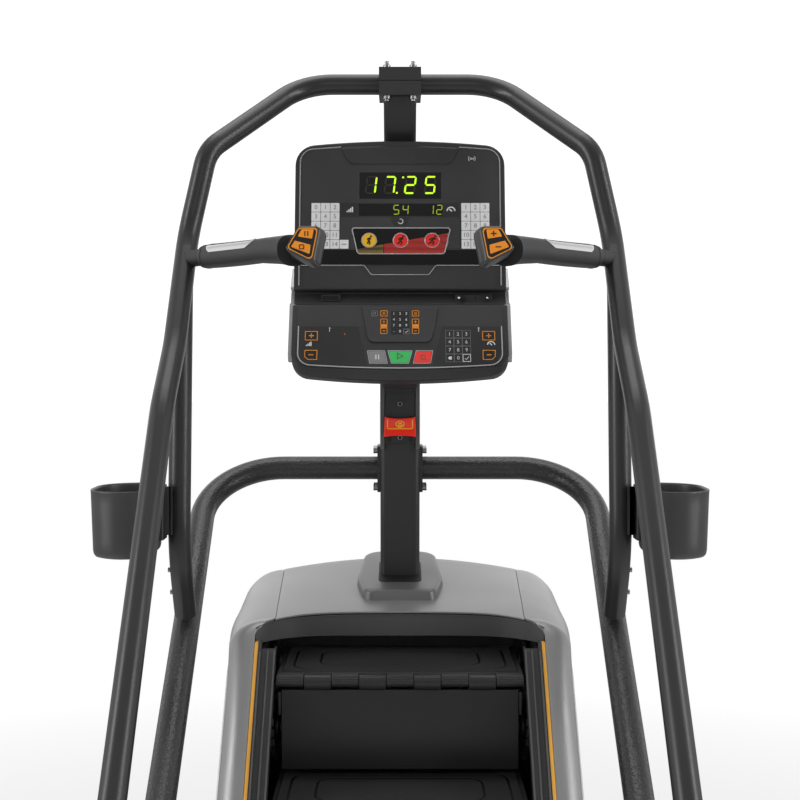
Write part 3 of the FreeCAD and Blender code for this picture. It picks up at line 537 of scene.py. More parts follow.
def make_console_shell():
    profile, low, high = console_profile()
    rings = [console_ring(x, 0.0, profile, low, high) for x in stations(CONSOLE_HALF, 34)]
    piece("console_shell_body", loft(rings), "shell", "console_black", replaces=["console_shell"],
          bevel=2.2, bevel_steps=3, sharp=32)
    for side, sign in SIDES:
        slab = []
        for x, shrink in ((CONSOLE_HALF - 3, 1.6), (CONSOLE_HALF + 4.2, 1.6), (CONSOLE_HALF + 6.4, 4.0)):
            ring = console_ring(CONSOLE_HALF - 1, shrink, profile, low, high)
            slab.append([Vector((x * sign, p.y + 1.5, max(min(p.z, low + 214), low + 36))) for p in ring])
        piece("console_flank_" + side, loft(slab), "flank", "panel_silver", bevel=0.8, sharp=40)


def make_display():
    def raised(name, outline, low, high, finish, bevel):
        piece(name, DISPLAY.plate(outline, low, high), finish, "display_gloss", bevel=bevel)

    glass = rounded([(-187, -8), (187, -8), (187, 214), (0, 226), (-187, 214)], [3, 3, 30, 2000, 30], 10)
    piece("display_glass", DISPLAY.plate(glass, -0.6, GLASS), "display", "display_gloss",
          replaces=["display_panel"], bevel=0.5)
    edge = rounded([(-188.6, -50), (-188.6, 214), (-112, 219.6), (-112, 225)], [0, 26, 0, 0], 8)[:-1]
    dip = rounded([(-186, -60), (-186, -11), (-67, -11), (-54, -29), (54, -29), (67, -11), (186, -11),
                   (186, -60)], [0, 0, 6, 6, 6, 6, 0, 0], 5)[1:-1]
    lines = [DISPLAY.line(edge, 2.0, 0.2, GLASS + 1.6),
             DISPLAY.line([Vector((-p.x, p.y)) for p in edge], 2.0, 0.2, GLASS + 1.6),
             DISPLAY.line(dip, 1.5, 0.0, 1.3)]
    piece("display_trim_lines", joined(lines), "trim", "panel_silver")
    raised("display_low_band", rectangle(-186, 186, -9.5, 19, 1.0), 0.4, GLASS + 0.3, "glass", 0.2)
    visor = rounded([(-112, 217), (-94, 186), (94, 186), (112, 217), (0, 223)], [2, 14, 14, 2, 1500], 6)
    piece("display_visor", DISPLAY.plate(visor, 0.2, 3.6), "shell", "console_black", bevel=1.6, bevel_steps=3)
    raised("lamp_window", rectangle(-77, 78, 118, 170, 1.5), 0.5, GLASS + 0.25, "glass", 0.15)
    raised("lamp_strip_frame", rectangle(-112, 112, 83, 110, 1.0), 0.5, GLASS + 0.25, "deck", 0.15)
    raised("lamp_strip", rectangle(-78, 80, 84.5, 108.5, 1.0), 0.5, GLASS + 0.45, "glass", 0.1)


SEGMENTS = {"0": "abcdef", "1": "bc", "2": "abged", "3": "abgcd", "4": "fgbc", "5": "afgcd",
            "6": "afgedc", "7": "abc", "8": "abcdefg", "9": "abcdfg"}


def segment(face, name, x, up, width, height, bar, lean, low, high):
    """One bar of a seven-bar figure, as a thin plate with pointed ends."""
    half_w, half_h, b, gap = width / 2, height / 2, bar / 2, bar * 0.18
    across = {"a": (-half_w, half_w, half_h), "g": (-half_w, half_w, 0), "d": (-half_w, half_w, -half_h)}
    upright = {"f": (0, half_h, -half_w), "b": (0, half_h, half_w), "e": (-half_h, 0, -half_w),
               "c": (-half_h, 0, half_w)}
    if name in across:
        x0, x1, y = across[name]
        points = [(x0 + gap, y), (x0 + gap + b, y - b), (x1 - gap - b, y - b), (x1 - gap, y),
                  (x1 - gap - b, y + b), (x0 + gap + b, y + b)]
    else:
        y0, y1, x0 = upright[name]
        points = [(x0, y0 + gap), (x0 + b, y0 + gap + b), (x0 + b, y1 - gap - b), (x0, y1 - gap),
                  (x0 - b, y1 - gap - b), (x0 - b, y0 + gap + b)]
    leaned = [Vector((x + px + py * lean, up + py)) for px, py in points]
    return face.plate(leaned, low, high)


def make_lamps():
    lit, dark, dim = [], [], []
    level = GLASS + 0.2
    for figure, x in zip("1725", (-54.5, -19, 19.5, 57)):
        for name in "abcdefg":
            target = lit if name in SEGMENTS[figure] else dark
            target.append(segment(DISPLAY, name, x, 145, 17.5, 32, 3.3, 0.12, level, level + 0.35))
    for x, up in ((-6.0, 129.5), (6.0, 160)):
        lit.append(DISPLAY.plate(circle(x, up, 1.9, 12), level, level + 0.35))
    for figure, x in zip("5412", (-7, 10.5, 58, 74)):
        for name in SEGMENTS[figure]:
            dim.append(segment(DISPLAY, name, x, 96.5, 9.5, 17.5, 1.7, 0.05, level + 0.2, level + 0.5))
    piece("lamp_figures", joined(lit), "lit", "display_gloss")
    piece("lamp_figures_unlit", joined(dark), "off", "display_gloss")
    piece("lamp_strip_figures", joined(dim), "dim", "display_gloss")


def stairs_icon(face, x, up, size, low, high):
    foot = up - size * 0.4
    forms = []
    for k in range(4):
        x0 = x + (k - 2) * size / 4
        forms.append(face.plate(rectangle(x0, x0 + size / 5.4, foot, foot + size * (k + 1) / 5), low, high))
    return forms


def gauge_icon(face, x, up, size, low, high):
    dial = arc(x, up - size * 0.2, size / 2, 0, 180, 10)
    needle = flat((x + size * 0.12, up - size * 0.25), (x - size * 0.2, up + size * 0.05))
    return [face.line(route, size * 0.16, low, high) for route in (dial, needle)]


def figure_icon(face, x, up, size, stride, low, high):
    """A plain walking or running figure."""
    lean = stride * 0.22
    head = circle(x + size * (0.06 + lean), up + size * 0.40, size * 0.11, 14)
    hip = (x - size * 0.02, up - size * 0.02)
    neck = (x + size * lean, up + size * 0.25)
    routes = [[neck, hip],
              [hip, (x + size * 0.14 * stride, up - size * 0.22), (x + size * 0.02, up - size * 0.46)],
              [hip, (x - size * 0.10, up - size * 0.22), (x - size * 0.30 * stride, up - size * 0.36)],
              [neck, (x + size * 0.16, up + size * 0.10), (x + size * 0.30 * stride, up + size * 0.14)],
              [neck, (x - size * 0.14, up + size * 0.14), (x - size * 0.20 * stride, up)]]
    return [face.plate(head, low, high)] + [face.line([Vector(p) for p in route], size * 0.15, low, high)
                                            for route in routes]


def make_display_keypads():
    """Two blocks of white keys, 0 to 14 and 1 to 15, and a small key with a dash."""
    caps, figures = [], []
    cell, rows, columns = 17.8, 5, 3
    tall = 17.9
    for left, first in ((-167, 0), (115, 1)):
        for row in range(rows):
            for column in range(columns):
                x0 = left + column * cell
                top = 110 - row * tall
                outline = rectangle(x0 + 0.4, x0 + cell - 0.4, top - tall + 0.4, top - 0.4, 0.8, 2)
                caps.append(DISPLAY.plate(outline, GLASS - 0.3, GLASS + 0.5))
                number = str(first + row * columns + column)
                figures.append(DISPLAY.text(number, x0 + cell / 2, top - tall / 2, 12.0,
                                            GLASS + 0.45, GLASS + 0.7))
    caps.append(DISPLAY.plate(rectangle(-113.2, -96.5, 20.9, 38, 0.8, 2), GLASS - 0.3, GLASS + 0.5))
    figures.append(DISPLAY.line(flat((-109.5, 29.4), (-100.5, 29.4)), 1.6, GLASS + 0.45, GLASS + 0.7))
    piece("display_keypad_caps", joined(caps), "key_white", "panel_silver", bevel=0.15)
    piece("display_keypad_figures", joined(figures), "ink_grey", "key_dark")


def make_quick_buttons():
    """A yellow and two red buttons with walking figures, in a pocket with two dotted wedges."""
    pocket = rounded([(-92, 62), (96, 62), (84, 10), (-80, 10)], [5, 5, 7, 7], 5)
    floor = DISPLAY.plate(inset(pocket, 1), GLASS - 0.4, GLASS + 0.35)
    piece("quick_pocket", floor, "glass", "display_gloss")
    piece("quick_pocket_rim", DISPLAY.frame(pocket, inset(pocket, 2.0), GLASS - 0.3, GLASS + 0.9), "trim",
          "panel_silver", bevel=0.2)
    red = flat((-30, 12.2), (82.2, 12.2), (92.8, 51.5), (-30, 29.5))
    yellow = flat((-79, 12.2), (-31, 12.2), (-31, 29.2), (-80, 20.0))
    piece("quick_wedge_red", DISPLAY.plate(red, GLASS, GLASS + 0.5), "dots_red", "key_red")
    piece("quick_wedge_yellow", DISPLAY.plate(yellow, GLASS, GLASS + 0.5), "dots_yellow", "key_amber")
    rims, icons = [], []
    up = 37
    for x, finish, slot, stride in ((-58, "yellow", "key_amber", 0.6), (1, "red", "key_red", 1.0),
                                    (60, "red", "key_red", 1.3)):
        piece("quick_button_%s_%d" % (finish, x + 60), DISPLAY.plate(circle(x, up, 12.8), GLASS, GLASS + 1.5),
              finish, slot, bevel=0.5)
        rims.append(DISPLAY.frame(circle(x, up, 14.6), circle(x, up, 12.9), GLASS, GLASS + 1.2))
        icons.extend(figure_icon(DISPLAY, x, up, 19, stride, GLASS + 1.4, GLASS + 1.7))
    piece("quick_button_rims", joined(rims), "trim", "panel_silver", bevel=0.2)
    piece("quick_button_figures", joined(icons), "print_and_shade_black", "key_dark")


def make_display_icons():
    marks = stairs_icon(DISPLAY, -94, 97, 13, GLASS + 0.2, GLASS + 0.5)
    marks += gauge_icon(DISPLAY, 96, 97, 15, GLASS + 0.2, GLASS + 0.5)
    for reach in (3.2, 6.4):
        for middle in (0, 180):
            marks.append(DISPLAY.line(arc(136, 197, reach, middle - 42, middle + 42, 6), 1.0,
                                      GLASS - 0.1, GLASS + 0.2))
    marks.append(DISPLAY.plate(circle(136, 197, 1.4, 12), GLASS - 0.1, GLASS + 0.2))
    tab = rounded([(-19, 83), (19, 83), (12, 65), (-12, 65)], [0, 0, 4, 4], 4)
    piece("display_icon_tab", DISPLAY.plate(tab, GLASS - 0.2, GLASS + 0.25), "deck", "display_gloss")
    for start, end in ((200, 380), (20, 110)):
        marks.append(DISPLAY.line(arc(1, 74, 4.6, start, end, 8), 1.3, GLASS + 0.1, GLASS + 0.4))
    piece("display_icons", joined(marks), "ink_white", "panel_silver")
    middle_panel = rectangle(-112, 112, 22, 82, 1.0)
    piece("display_mid_panel", DISPLAY.plate(middle_panel, GLASS - 0.5, GLASS + 0.12), "pad", "display_gloss")


def make_tray():
    """The shelf between display and deck, with a charging port, a socket and two small controls."""
    top = DISPLAY.at(0, TRAY_UP[0] - PANEL_EDGE)
    low = DECK.at(0, TRAY_UP[1] - PANEL_EDGE)
    y = max(top.y, low.y) + 14
    z = (top.z + low.z) / 2

    def wall(outline, near, far):
        return loft([[Vector((p.x, y - out, z + p.y)) for p in outline] for out in (near, far)])

    cover = wall(rectangle(-148, -112, -6.5, 6.5, 1.5), 0, 5)
    mouth = wall(rectangle(-146, -116, -3.5, 3.5, 0.8), 4, 5.6)
    plate = wall(rectangle(104, 172, -6.5, 6.5, 1.5), 0, 3)
    sockets = [wall(circle(118, 0, 5.4), 2, 8), wall(circle(163, 0, 4.2), 2, 8),
               wall(circle(142, 0, 1.8), 2, 3.6)]
    contacts = [wall(circle(110, 0, 2.2, 20), 7.5, 9.2), wall(circle(163, 0, 2.0, 20), 7.5, 9.2)]
    piece("tray_port_cover", cover, "deck", "console_black", bevel=0.5)
    # painted shade: the near-black port mouth and socket pieces stand for the shadow inside the openings
    piece("tray_port_mouth", mouth, "print_and_shade_black", "key_dark")
    piece("tray_socket_plate", plate, "deck", "console_black", bevel=0.5)
    piece("tray_sockets", joined(sockets), "print_and_shade_black", "key_dark", bevel=0.6)
    piece("tray_contacts", joined(contacts), "contact", "contact_metal", bevel=0.4)


def top_outline(node, face):
    """A node's outermost face, in the coordinates of the slope it lies on: outline, middle and height."""
    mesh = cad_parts[node].data
    level = max(v.co.dot(face.out) for v in mesh.vertices)
    spots = []
    for v in mesh.vertices:
        if level - v.co.dot(face.out) < FLAT:
            offset = v.co / MM - face.foot
            spots.append(Vector((offset.x, offset.dot(face.up))))
    middle = Vector((sum(p.x for p in spots) / len(spots), sum(p.y for p in spots) / len(spots)))
    return hull(spots), middle, level / MM - face.foot.dot(face.out)


def make_deck():
    top = TRAY_UP[1] - PANEL_EDGE
    deck = rounded([(-188, 10), (0, -3), (188, 10), (189, top), (-189, top)], [24, 2200, 24, 3, 3], 12)
    piece("deck_face", DECK.plate(deck, -0.8, 0.6), "pad", "deck_matte", replaces=["deck_panel"], bevel=0.4)
    trim = rounded([(-186, 86), (-186, 9.5), (0, -2), (186, 9.5), (186, 86), (0, 400)],
                   [0, 24, 2200, 24, 0, 0], 10)[:-1]
    piece("deck_trim_line", DECK.line(trim, 2.0, 0.2, 1.6), "trim", "panel_silver")
    field = rounded([(-183.5, 12.5), (-59, 4.6), (-77, 86), (-183.5, 86)], [20, 2, 2, 1], 8)
    for side, sign in SIDES:
        outline = [Vector((p.x * -sign, p.y)) for p in field]
        piece("deck_field_" + side, DECK.plate(outline, 0.3, 1.1), "deck", "deck_matte", bevel=0.25)
    throat = rounded([(-75.5, 86), (75.5, 86), (58, 4.5), (-58, 4.5)], [2, 2, 2, 2], 4)
    piece("deck_throat", DECK.plate(throat, 0.3, 0.95), "shell", "deck_matte", bevel=0.25)
    plinth = rounded([(-70, 124), (70, 124), (57, 53), (-57, 53)], [4, 4, 12, 12], 6)
    piece("deck_plinth", DECK.plate(plinth, 0.4, 4.0), "pad", "deck_matte", bevel=1.0, bevel_steps=3)
    lines = []
    for k in range(4):
        up = 47.5 - 3.2 * k
        lines.append(DECK.line(flat((-68 + k, up), (68 - k, up)), 0.8, 0.9, 1.25))
    piece("deck_throat_lines", joined(lines), "pad", "deck_matte")


PLINTH = 3.9               # level of the plinth's small keys above the deck's slope
FIELD = 1.05               # level of the print on the deck's two fields


def plinth_keypad(caps, figures, outlines):
    """Small figure keys, a tick key and a picture key in the middle of the plinth."""
    for row, words in enumerate(("123", "456", "789", "-0")):
        for column in range(3):
            x0, y0 = -17 + column * 11.4, 104.5 - row * 12
            outline = rectangle(x0 + 0.4, x0 + 11, y0 - 0.3, y0 + 11, 0.8, 2)
            caps.append(DECK.plate(outline, PLINTH, PLINTH + 0.5))
            if column < len(words):
                figures.append(DECK.text(words[column], x0 + 5.7, y0 + 5.4, 7.5,
                                         PLINTH + 0.45, PLINTH + 0.65))
    tick = flat((8.8, 73.5), (11, 71.2), (15, 76.2))
    figures.append(DECK.line(tick, 0.9, PLINTH + 0.45, PLINTH + 0.65))
    frames = ((rectangle(6, 17, 68.3, 79, 1), 0.9, 0.3, 0.8),
              (rectangle(-52, -41, 105, 116, 1.5), 1.0, 0.0, 0.6))
    for outline, width, low, high in frames:
        outlines.append(DECK.frame(outline, inset(outline, width), PLINTH + low, PLINTH + high))
    caps.append(DECK.plate(inset(frames[1][0], 0.9), PLINTH, PLINTH + 0.4))
    lens = (circle(-46.5, 110.5, 2.6, 16), circle(-46.5, 110.5, 1.5, 16))
    outlines.append(DECK.frame(*lens, PLINTH + 0.35, PLINTH + 0.6))


def plinth_rockers(caps, outlines):
    """Two columns of amber-ringed keys: a cross, a plus and a minus."""
    for x in (-36, 22):
        for up in (104.5, 87.5, 69):
            ring = rectangle(x, x + 13, up, up + 12, 2)
            outlines.append(DECK.frame(ring, inset(ring, 1.2), PLINTH, PLINTH + 0.7))
            caps.append(DECK.plate(inset(ring, 1.1), PLINTH, PLINTH + 0.4))
        bridge = rectangle(x + 0.3, x + 12.7, 81.4, 87.3, 0.5, 2)
        outlines.append(DECK.plate(bridge, PLINTH, PLINTH + 0.6))
        for start, end, width in (((4, 75), (9, 75), 1.4), ((4, 93.5), (9, 93.5), 1.4),
                                  ((6.5, 91), (6.5, 96), 1.4), ((4, 108), (9, 113), 1.2),
                                  ((4, 113), (9, 108), 1.2)):
            route = flat((x + start[0], start[1]), (x + end[0], end[1]))
            outlines.append(DECK.line(route, width, PLINTH + 0.35, PLINTH + 0.6))


def field_keypad(cells, figures):
    """The figure pad printed on the right field, with its enter key."""
    wide, tall = 15.3, 16
    for row, words in enumerate(("123", "456", "789", " 0")):
        for column in range(3):
            x0, y0 = 83 + column * wide, 62 - row * tall
            cell = rectangle(x0, x0 + wide, y0, y0 + tall, 0.6, 2)
            cells.append(DECK.frame(cell, inset(cell, 0.5), FIELD, FIELD + 0.25))
            if words[column:column + 1].strip():
                figures.append(DECK.text(words[column], x0 + 7.6, y0 + 7.9, 9.5, FIELD, FIELD + 0.25))
    tick = flat((117.5, 21.5), (120.2, 18.6), (125.2, 25))
    figures.append(DECK.line(tick, 1.1, FIELD, FIELD + 0.3))
    enter = rectangle(114, 128.6, 14.4, 29.6, 1)
    figures.append(DECK.frame(enter, inset(enter, 1.0), FIELD, FIELD + 0.5))
    clear = flat((87, 22), (90, 19), (94, 19), (94, 25), (90, 25))
    figures.append(DECK.plate(clear, FIELD, FIELD + 0.3))


def make_deck_graphics():
    caps, white, grey, amber, cells = [], [], [], [], []
    plinth_keypad(caps, white, grey)
    plinth_rockers(caps, amber)
    field_keypad(cells, white)
    white.extend(stairs_icon(DECK, -166, 50.5, 11, FIELD, FIELD + 0.3))
    white.extend(gauge_icon(DECK, 166, 51, 13, FIELD, FIELD + 0.3))
    for x in (-129, 144):
        white.append(DECK.plate(circle(x, 82, 1.4, 12), FIELD, FIELD + 0.25))
        white.append(DECK.line(flat((x, 80), (x, 75)), 1.2, FIELD, FIELD + 0.25))
    amber.append(DECK.plate(circle(-101, 70, 1.1, 12), FIELD, FIELD + 0.25))
    piece("deck_pad_caps", joined(caps), "key_dark", "key_dark", bevel=0.1)
    piece("deck_figures", joined(white), "ink_white", "panel_silver")
    piece("deck_key_outlines_grey", joined(grey), "ink_grey", "key_grey")
    piece("deck_key_outlines_amber", joined(amber), "ink_amber", "key_amber")
    piece("deck_cell_lines", joined(cells), "ink_grey", "key_grey")


def sign_marks(face, kind, centre, size, low, high):
    """The mark on a key: pause, play, stop, plus, minus."""
    x, y = centre
    tall = size * 0.45
    if kind == "pause":
        return [face.plate(rectangle(x + dx - size * 0.1, x + dx + size * 0.1, y - tall, y + tall), low, high)
                for dx in (-size * 0.25, size * 0.25)]
    if kind == "play":
        outer = flat((x - size * 0.4, y - size * 0.5), (x + size * 0.5, y), (x - size * 0.4, y + size * 0.5))
        return [face.frame(outer, scaled(outer, 0.62), low, high)]
    if kind == "stop":
        outer = rectangle(x - tall, x + tall, y - tall, y + tall, size * 0.12, 3)
        return [face.frame(outer, scaled(outer, 0.66), low, high)]
    marks = [face.line(flat((x - size * 0.5, y), (x + size * 0.5, y)), size * 0.2, low, high)]
    if kind == "plus":
        marks.append(face.line(flat((x, y - size * 0.5), (x, y + size * 0.5)), size * 0.2, low, high))
    return marks


def make_deck_keys():
    """The deck's keys: kind of mark, its finish and size, and the cap's finish."""
    kinds = {"key_pause": ("pause", "ink_white", 10, "key_grey"), "key_go": ("play", "ink", 14, "key_green"),
             "key_stop": ("stop", "ink", 10, "key_red")}
    for name in ("level", "speed"):
        kinds["key_%s_up" % name] = ("plus", "ink_amber", 9, "key_dark")
        kinds["key_%s_down" % name] = ("minus", "ink_amber", 9, "key_dark")
    for node, (kind, ink, size, finish) in kinds.items():
        outline, centre, height = top_outline(node, DECK)
        piece(node + "_cap", DECK.plate(outline, height - 4.5, height), finish, finish, body=node,
              replaces=[node], bevel=0.7, bevel_steps=3)
        marks = sign_marks(DECK, kind, centre, size, height - 0.1, height + 0.2)
        piece(node + "_mark", joined(marks), ink, "key_dark", body=node)
        if finish == "key_dark":
            ring = DECK.frame(shrunk(outline, 0.7), shrunk(outline, 2.0), height - 0.1, height + 0.2)
            piece(node + "_outline", ring, "ink_amber", "key_amber", body=node)
        else:
            rim = DECK.frame(shrunk(outline, -1.6), shrunk(outline, -0.5), 0.6, 1.6)
            piece(node + "_rim", rim, "trim", "panel_silver", bevel=0.2)


# ---- covers -----------------------------------------------------------------
BODY_HALF = box_of("side_cover_right")[1].x     # half widths of the covers, low down and at the shoulders
WIDE_HALF = box_of("side_panel_right")[1].x - 1.0
SHELL = 4.0                # wall of the moulded covers
STRIP_HIGH = box_of("accent_strips")[1]
STRIP_EDGE = STRIP_HIGH.x + 0.8
COVER_FOOT = box_of("side_cover_right")[0].z
BACK_TOP = box_of("hood_cover")[1].y
BACK_WIDE = box_of("front_cover")[1].y
LID = box_of("front_cover")[1].z
HOOD_TOP = box_of("hood_cover")[1].z
STAIR_SLOPE = 0.78         # run over rise of the stair opening's edge
PILLAR_CORNER = 40.0       # how far down a pillar its rounded shoulder reaches
BROW_DEEP = 326.0          # the hood's near edge: its place in the middle and at its ends
BROW_NEAR = 240.0
BROW_END = 262.0           # half length of that edge
BACK_ROUND = 30.0          # radius of the corner between the top and the back
MAST_HOLE = (42, 450, 560)  # half width, near and far edge of the opening for the mast
VENT_FOOT = 300.0          # lowest vent, and the height below which the back leans in


def slope_z(y):
    """Height of the sloping edge of the stair opening."""
    return STRIP_HIGH.z + (y - STRIP_HIGH.y + 13) / STAIR_SLOPE


def slope_y(z):
    return STRIP_HIGH.y - 13 + (z - STRIP_HIGH.z) * STAIR_SLOPE


def soft_min(a, b, blend):
    low, high = min(a, b), max(a, b)
    return low - blend * math.log(1 + math.exp((low - high) / blend))


def soft_max(a, b, blend):
    return -soft_min(-a, -b, blend)


def seam_x(y):
    """The seam between the hood and a side cover runs outwards towards the front."""
    return 234.5 + max(0.0, y - 290) * 0.046


def hood_z(x, y):
    """The hood: nearly flat across at the brow, more and more arched further back."""
    back = max(0.0, (y - 300) / 322) ** 1.6
    seam = HOOD_TOP - 39 + 21 * back
    arch = 2 + 21 * back
    dip = 14.0 * math.exp(-max(0.0, y - brow_y(min(abs(x), BROW_END))) / 90)
    return seam + arch * (1 - (x / 240) ** 2) - dip


def cover_half(y, z):
    """Half width of the covers: full behind the pillars, and drawn in low down for the side panels."""
    wide = ramp(y, 190, 450) * ramp(z, LID - 112, LID - 66)
    return BODY_HALF + (WIDE_HALF - BODY_HALF) * wide


def back_y(z):
    """The back of the covers bulges out below the lid."""
    if z > VENT_FOOT:
        return BACK_TOP + (BACK_WIDE - BACK_TOP) * (1 - ramp(z, VENT_FOOT, LID + 26))
    return BACK_WIDE - 36 * (1 - ramp(z, COVER_FOOT, VENT_FOOT))


def brow_y(x):
    """The hood's near edge: a shallow curve that turns towards the user at its ends."""
    reach = min(1.0, abs(x) / BROW_END)
    return BROW_DEEP - (BROW_DEEP - BROW_NEAR) * reach ** 5.0


def inner_edge(y):
    """Inner edge of a side cover: beside the stairs, along the brow, then along the seam."""
    if y <= BROW_NEAR:
        return STRIP_EDGE
    reach = BROW_END * min(1.0, max(0.0, (BROW_DEEP - y) / (BROW_DEEP - BROW_NEAR))) ** 0.2
    along = max(reach, seam_x(y)) + 0.8
    return STRIP_EDGE + (along - STRIP_EDGE) * ramp(y, BROW_NEAR - 4, BROW_NEAR + 8)


SHOULDER_STEPS = 14
WALL_STEPS = 10


def side_section(y, foot):
    """Half a cross-section of the covers: in from the seam, over the shoulder and down the wall."""
    inner = inner_edge(y)
    top = soft_min(soft_max(slope_z(y), foot, 12.0), hood_z(inner, y), 7.0)
    tall = PILLAR_CORNER + 45 * ramp(y, 190, 500)
    tall = max(3.0, min(tall, (top - COVER_FOOT) * 0.45))
    bend_from = inner + 0.5 + 3.5 * (1 - ramp(y, 210, 300))
    half = cover_half(y, top)
    path = [Vector((inner, y, top))]
    for k in range(SHOULDER_STEPS + 1):
        turn = math.pi / 2 * k / SHOULDER_STEPS
        x = bend_from + (half - bend_from) * math.sin(turn)
        path.append(Vector((x, y, top - tall * (1 - math.cos(turn)))))
    low = path[-1]
    for k in range(1, WALL_STEPS + 1):
        z = low.z + (COVER_FOOT - low.z) * k / WALL_STEPS
        path.append(Vector((min(low.x, cover_half(y, z)), y, z)))
    return path


def grid(rows):
    """A sheet through rows of equal length."""
    count = len(rows[0])
    points = [p for row in rows for p in row]
    faces = []
    for r in range(len(rows) - 1):
        for k in range(count - 1):
            a = r * count + k
            faces.append((a, a + 1, a + 1 + count, a + count))
    return points, faces


def shell_piece(name, form, finish, slot, replaces, bevel):
    """A moulded cover: a sheet thickened inwards, with its rim rounded."""
    made = piece(name, form, finish, slot, replaces=replaces, sharp=50)
    wall = made.modifiers.new("wall", "SOLIDIFY")
    wall.thickness = SHELL * MM
    wall.offset = -1.0
    wall.use_even_offset = True
    round_edges(made, "rim", bevel, 2, 50)


def outwards(form, centre):
    """Turns a sheet's faces so that they look away from the centre."""
    points, faces = form
    total = 0.0
    for face in faces:
        a, b, c = (Vector(points[face[k]]) for k in (0, 1, 2))
        normal = (b - a).cross(c - a)
        total += normal.dot(a - centre)
    return (points, [face[::-1] for face in faces]) if total < 0 else form


def side_cover_rows():
    """Cross-sections from the toe to the back, closer together where the cover turns."""
    toe = rounded([(-676, COVER_FOOT + 1), (-668, 190), (-560, 232), (-400, 246)], [0, 26, 60, 0], 6)
    rows = [side_section(spot.x, spot.y) for spot in toe[:-1]]
    y = -440.0
    while y < BACK_TOP - 32:
        rows.append(side_section(y, 244))
        y += 6 if 225 < y < 285 else (12 if 150 < y < 340 else 26)
    last = rows[-1]
    for k in range(1, 7):
        turn = math.pi / 2 * k / 6
        drop = BACK_ROUND * (1 - math.cos(turn))
        row = []
        for p in last:
            y = back_y(p.z) - BACK_ROUND + BACK_ROUND * math.sin(turn)
            inward = max(0.0, (p.x - last[0].x) / (WIDE_HALF - last[0].x))
            upward = max(0.0, 1 - (last[0].z - p.z) / 85)
            row.append(Vector((p.x - drop * inward, y, p.z - drop * upward)))
        rows.append(row)
    tucked = []
    for p in rows[-1]:
        behind = 5 * (1 - ramp(p.z, LID + 5, LID + 40))
        tucked.append(Vector((min(p.x, last[0].x), p.y - behind, p.z)))
    return rows + [tucked]


def make_side_covers():
    form = outwards(grid(side_cover_rows()), Vector((150, 100, 500)))
    side_pieces("side_cover_shell", form, "hood", "cover_grey", "side_cover", make=shell_piece, bevel=1.2)


HOOD_ROWS = 25             # rows along the hood, and how many of them crowd towards its brow
BROW_ROWS = 10
BROW_REACH = 90.0          # the stretch behind the brow that those rows cover


def hood_y(start, k):
    """Place of a row along the hood, from its brow at start to the corner at its back."""
    if k < BROW_ROWS:
        return start + BROW_REACH * (k / BROW_ROWS) ** 1.6
    rest = BACK_TOP - BACK_ROUND - start - BROW_REACH
    return start + BROW_REACH + rest * (k - BROW_ROWS) / (HOOD_ROWS - 1 - BROW_ROWS)


def make_hood():
    columns = 40
    rows = []
    for k in range(HOOD_ROWS):
        row = []
        for column in range(columns + 1):
            share = 2 * column / columns - 1
            y = hood_y(brow_y(share * 236), k)
            x = share * seam_x(y)
            row.append(Vector((x, y, hood_z(x, y))))
        rows.append(row)
    last = rows[-1]
    for k in range(1, 6):
        turn = math.pi / 2 * k / 5
        step = Vector((0, math.sin(turn), math.cos(turn) - 1)) * BACK_ROUND
        rows.append([p + step for p in last])
    for z in (LID + 30, LID + 1.5):
        rows.append([Vector((p.x, back_y(z), z)) for p in last])
    points, faces = outwards(grid(rows), Vector((0, 300, 500)))
    kept = []
    for face in faces:
        middle = sum((points[i] for i in face), Vector()) / len(face)
        if abs(middle.x) >= MAST_HOLE[0] or not MAST_HOLE[1] < middle.y < MAST_HOLE[2]:
            kept.append(face)
    shell_piece("hood_shell", (points, kept), "hood", "cover_grey", ["hood_cover"], 0.8)


def on_back(outline, low, high):
    """A plate on the back cover: its outline (x, z), from low to high above the cover."""
    return loft([[Vector((p.x, back_y(p.y) + out, p.y)) for p in outline] for out in (low, high)])


def make_front_cover():
    half = STRIP_EDGE - 1.6
    steps = 24
    columns = [-half + 2 * half * k / steps for k in range(steps + 1)]
    rows = []
    for k in range(steps + 1):
        z = LID - 1.5 - (LID - 1.5 - COVER_FOOT) * k / steps
        rows.append([Vector((x, back_y(z) - 3 * abs(x / half) ** 3, z)) for x in columns])
    form = outwards(grid(rows), Vector((0, 300, 500)))
    shell_piece("front_cover_shell", form, "hood", "cover_grey", ["front_cover"], 1.0)
    vents = []
    for k in range(9):
        z = VENT_FOOT + 14 * k
        for x in (-120, 120):
            vents.append(on_back(rectangle(x - 60, x + 60, z - 2.6, z + 2.6, 2.4, 5), -2.5, 0.7))
    piece("front_cover_vents", joined(vents), "fascia", "fascia_dark", bevel=0.3)
    rim = on_back(rectangle(-42, 42, 144, 202, 8), -2, 2.4)
    well = on_back(rectangle(-36, 36, 150, 196, 5), 1.5, 2.8)
    piece("power_inlet_frame", rim, "fascia", "fascia_dark", bevel=1.0)
    # painted shade: the near-black well is a flat fill standing for the shadow inside the power inlet
    piece("power_inlet_well", well, "print_and_shade_black", "fascia_dark", bevel=0.6)


def make_side_panels():
    """Pale side panels: a pressed tray with a soft edge and a shallow raised field."""
    low, high = box_of("side_panel_right")
    near = 190.0
    knee = low.z + 220
    base = rounded([(slope_y(high.z) + near, high.z), (slope_y(knee) + near, knee), (-190, low.z),
                    (640, low.z), (655, 320), (622, high.z)], [60, 160, 40, 60, 200, 60], 8)
    rings = []
    for x, gap in ((BODY_HALF - 0.5, 0), (high.x - 11.5, 0), (high.x - 5.5, 2.2), (high.x - 2, 6),
                   (high.x - 0.5, 13), (high.x - 0.3, 46), (high.x + 1.3, 52)):
        rings.append([Vector((x, p.x, p.y)) for p in shrunk(base, gap)])
    side_pieces("side_panel_skin", loft(rings), "silver", "panel_silver", "side_panel", sharp=25)


def boot_top(y):
    high = box_of("mast_boot")[1]
    return high.z - (high.y - y) * 0.16


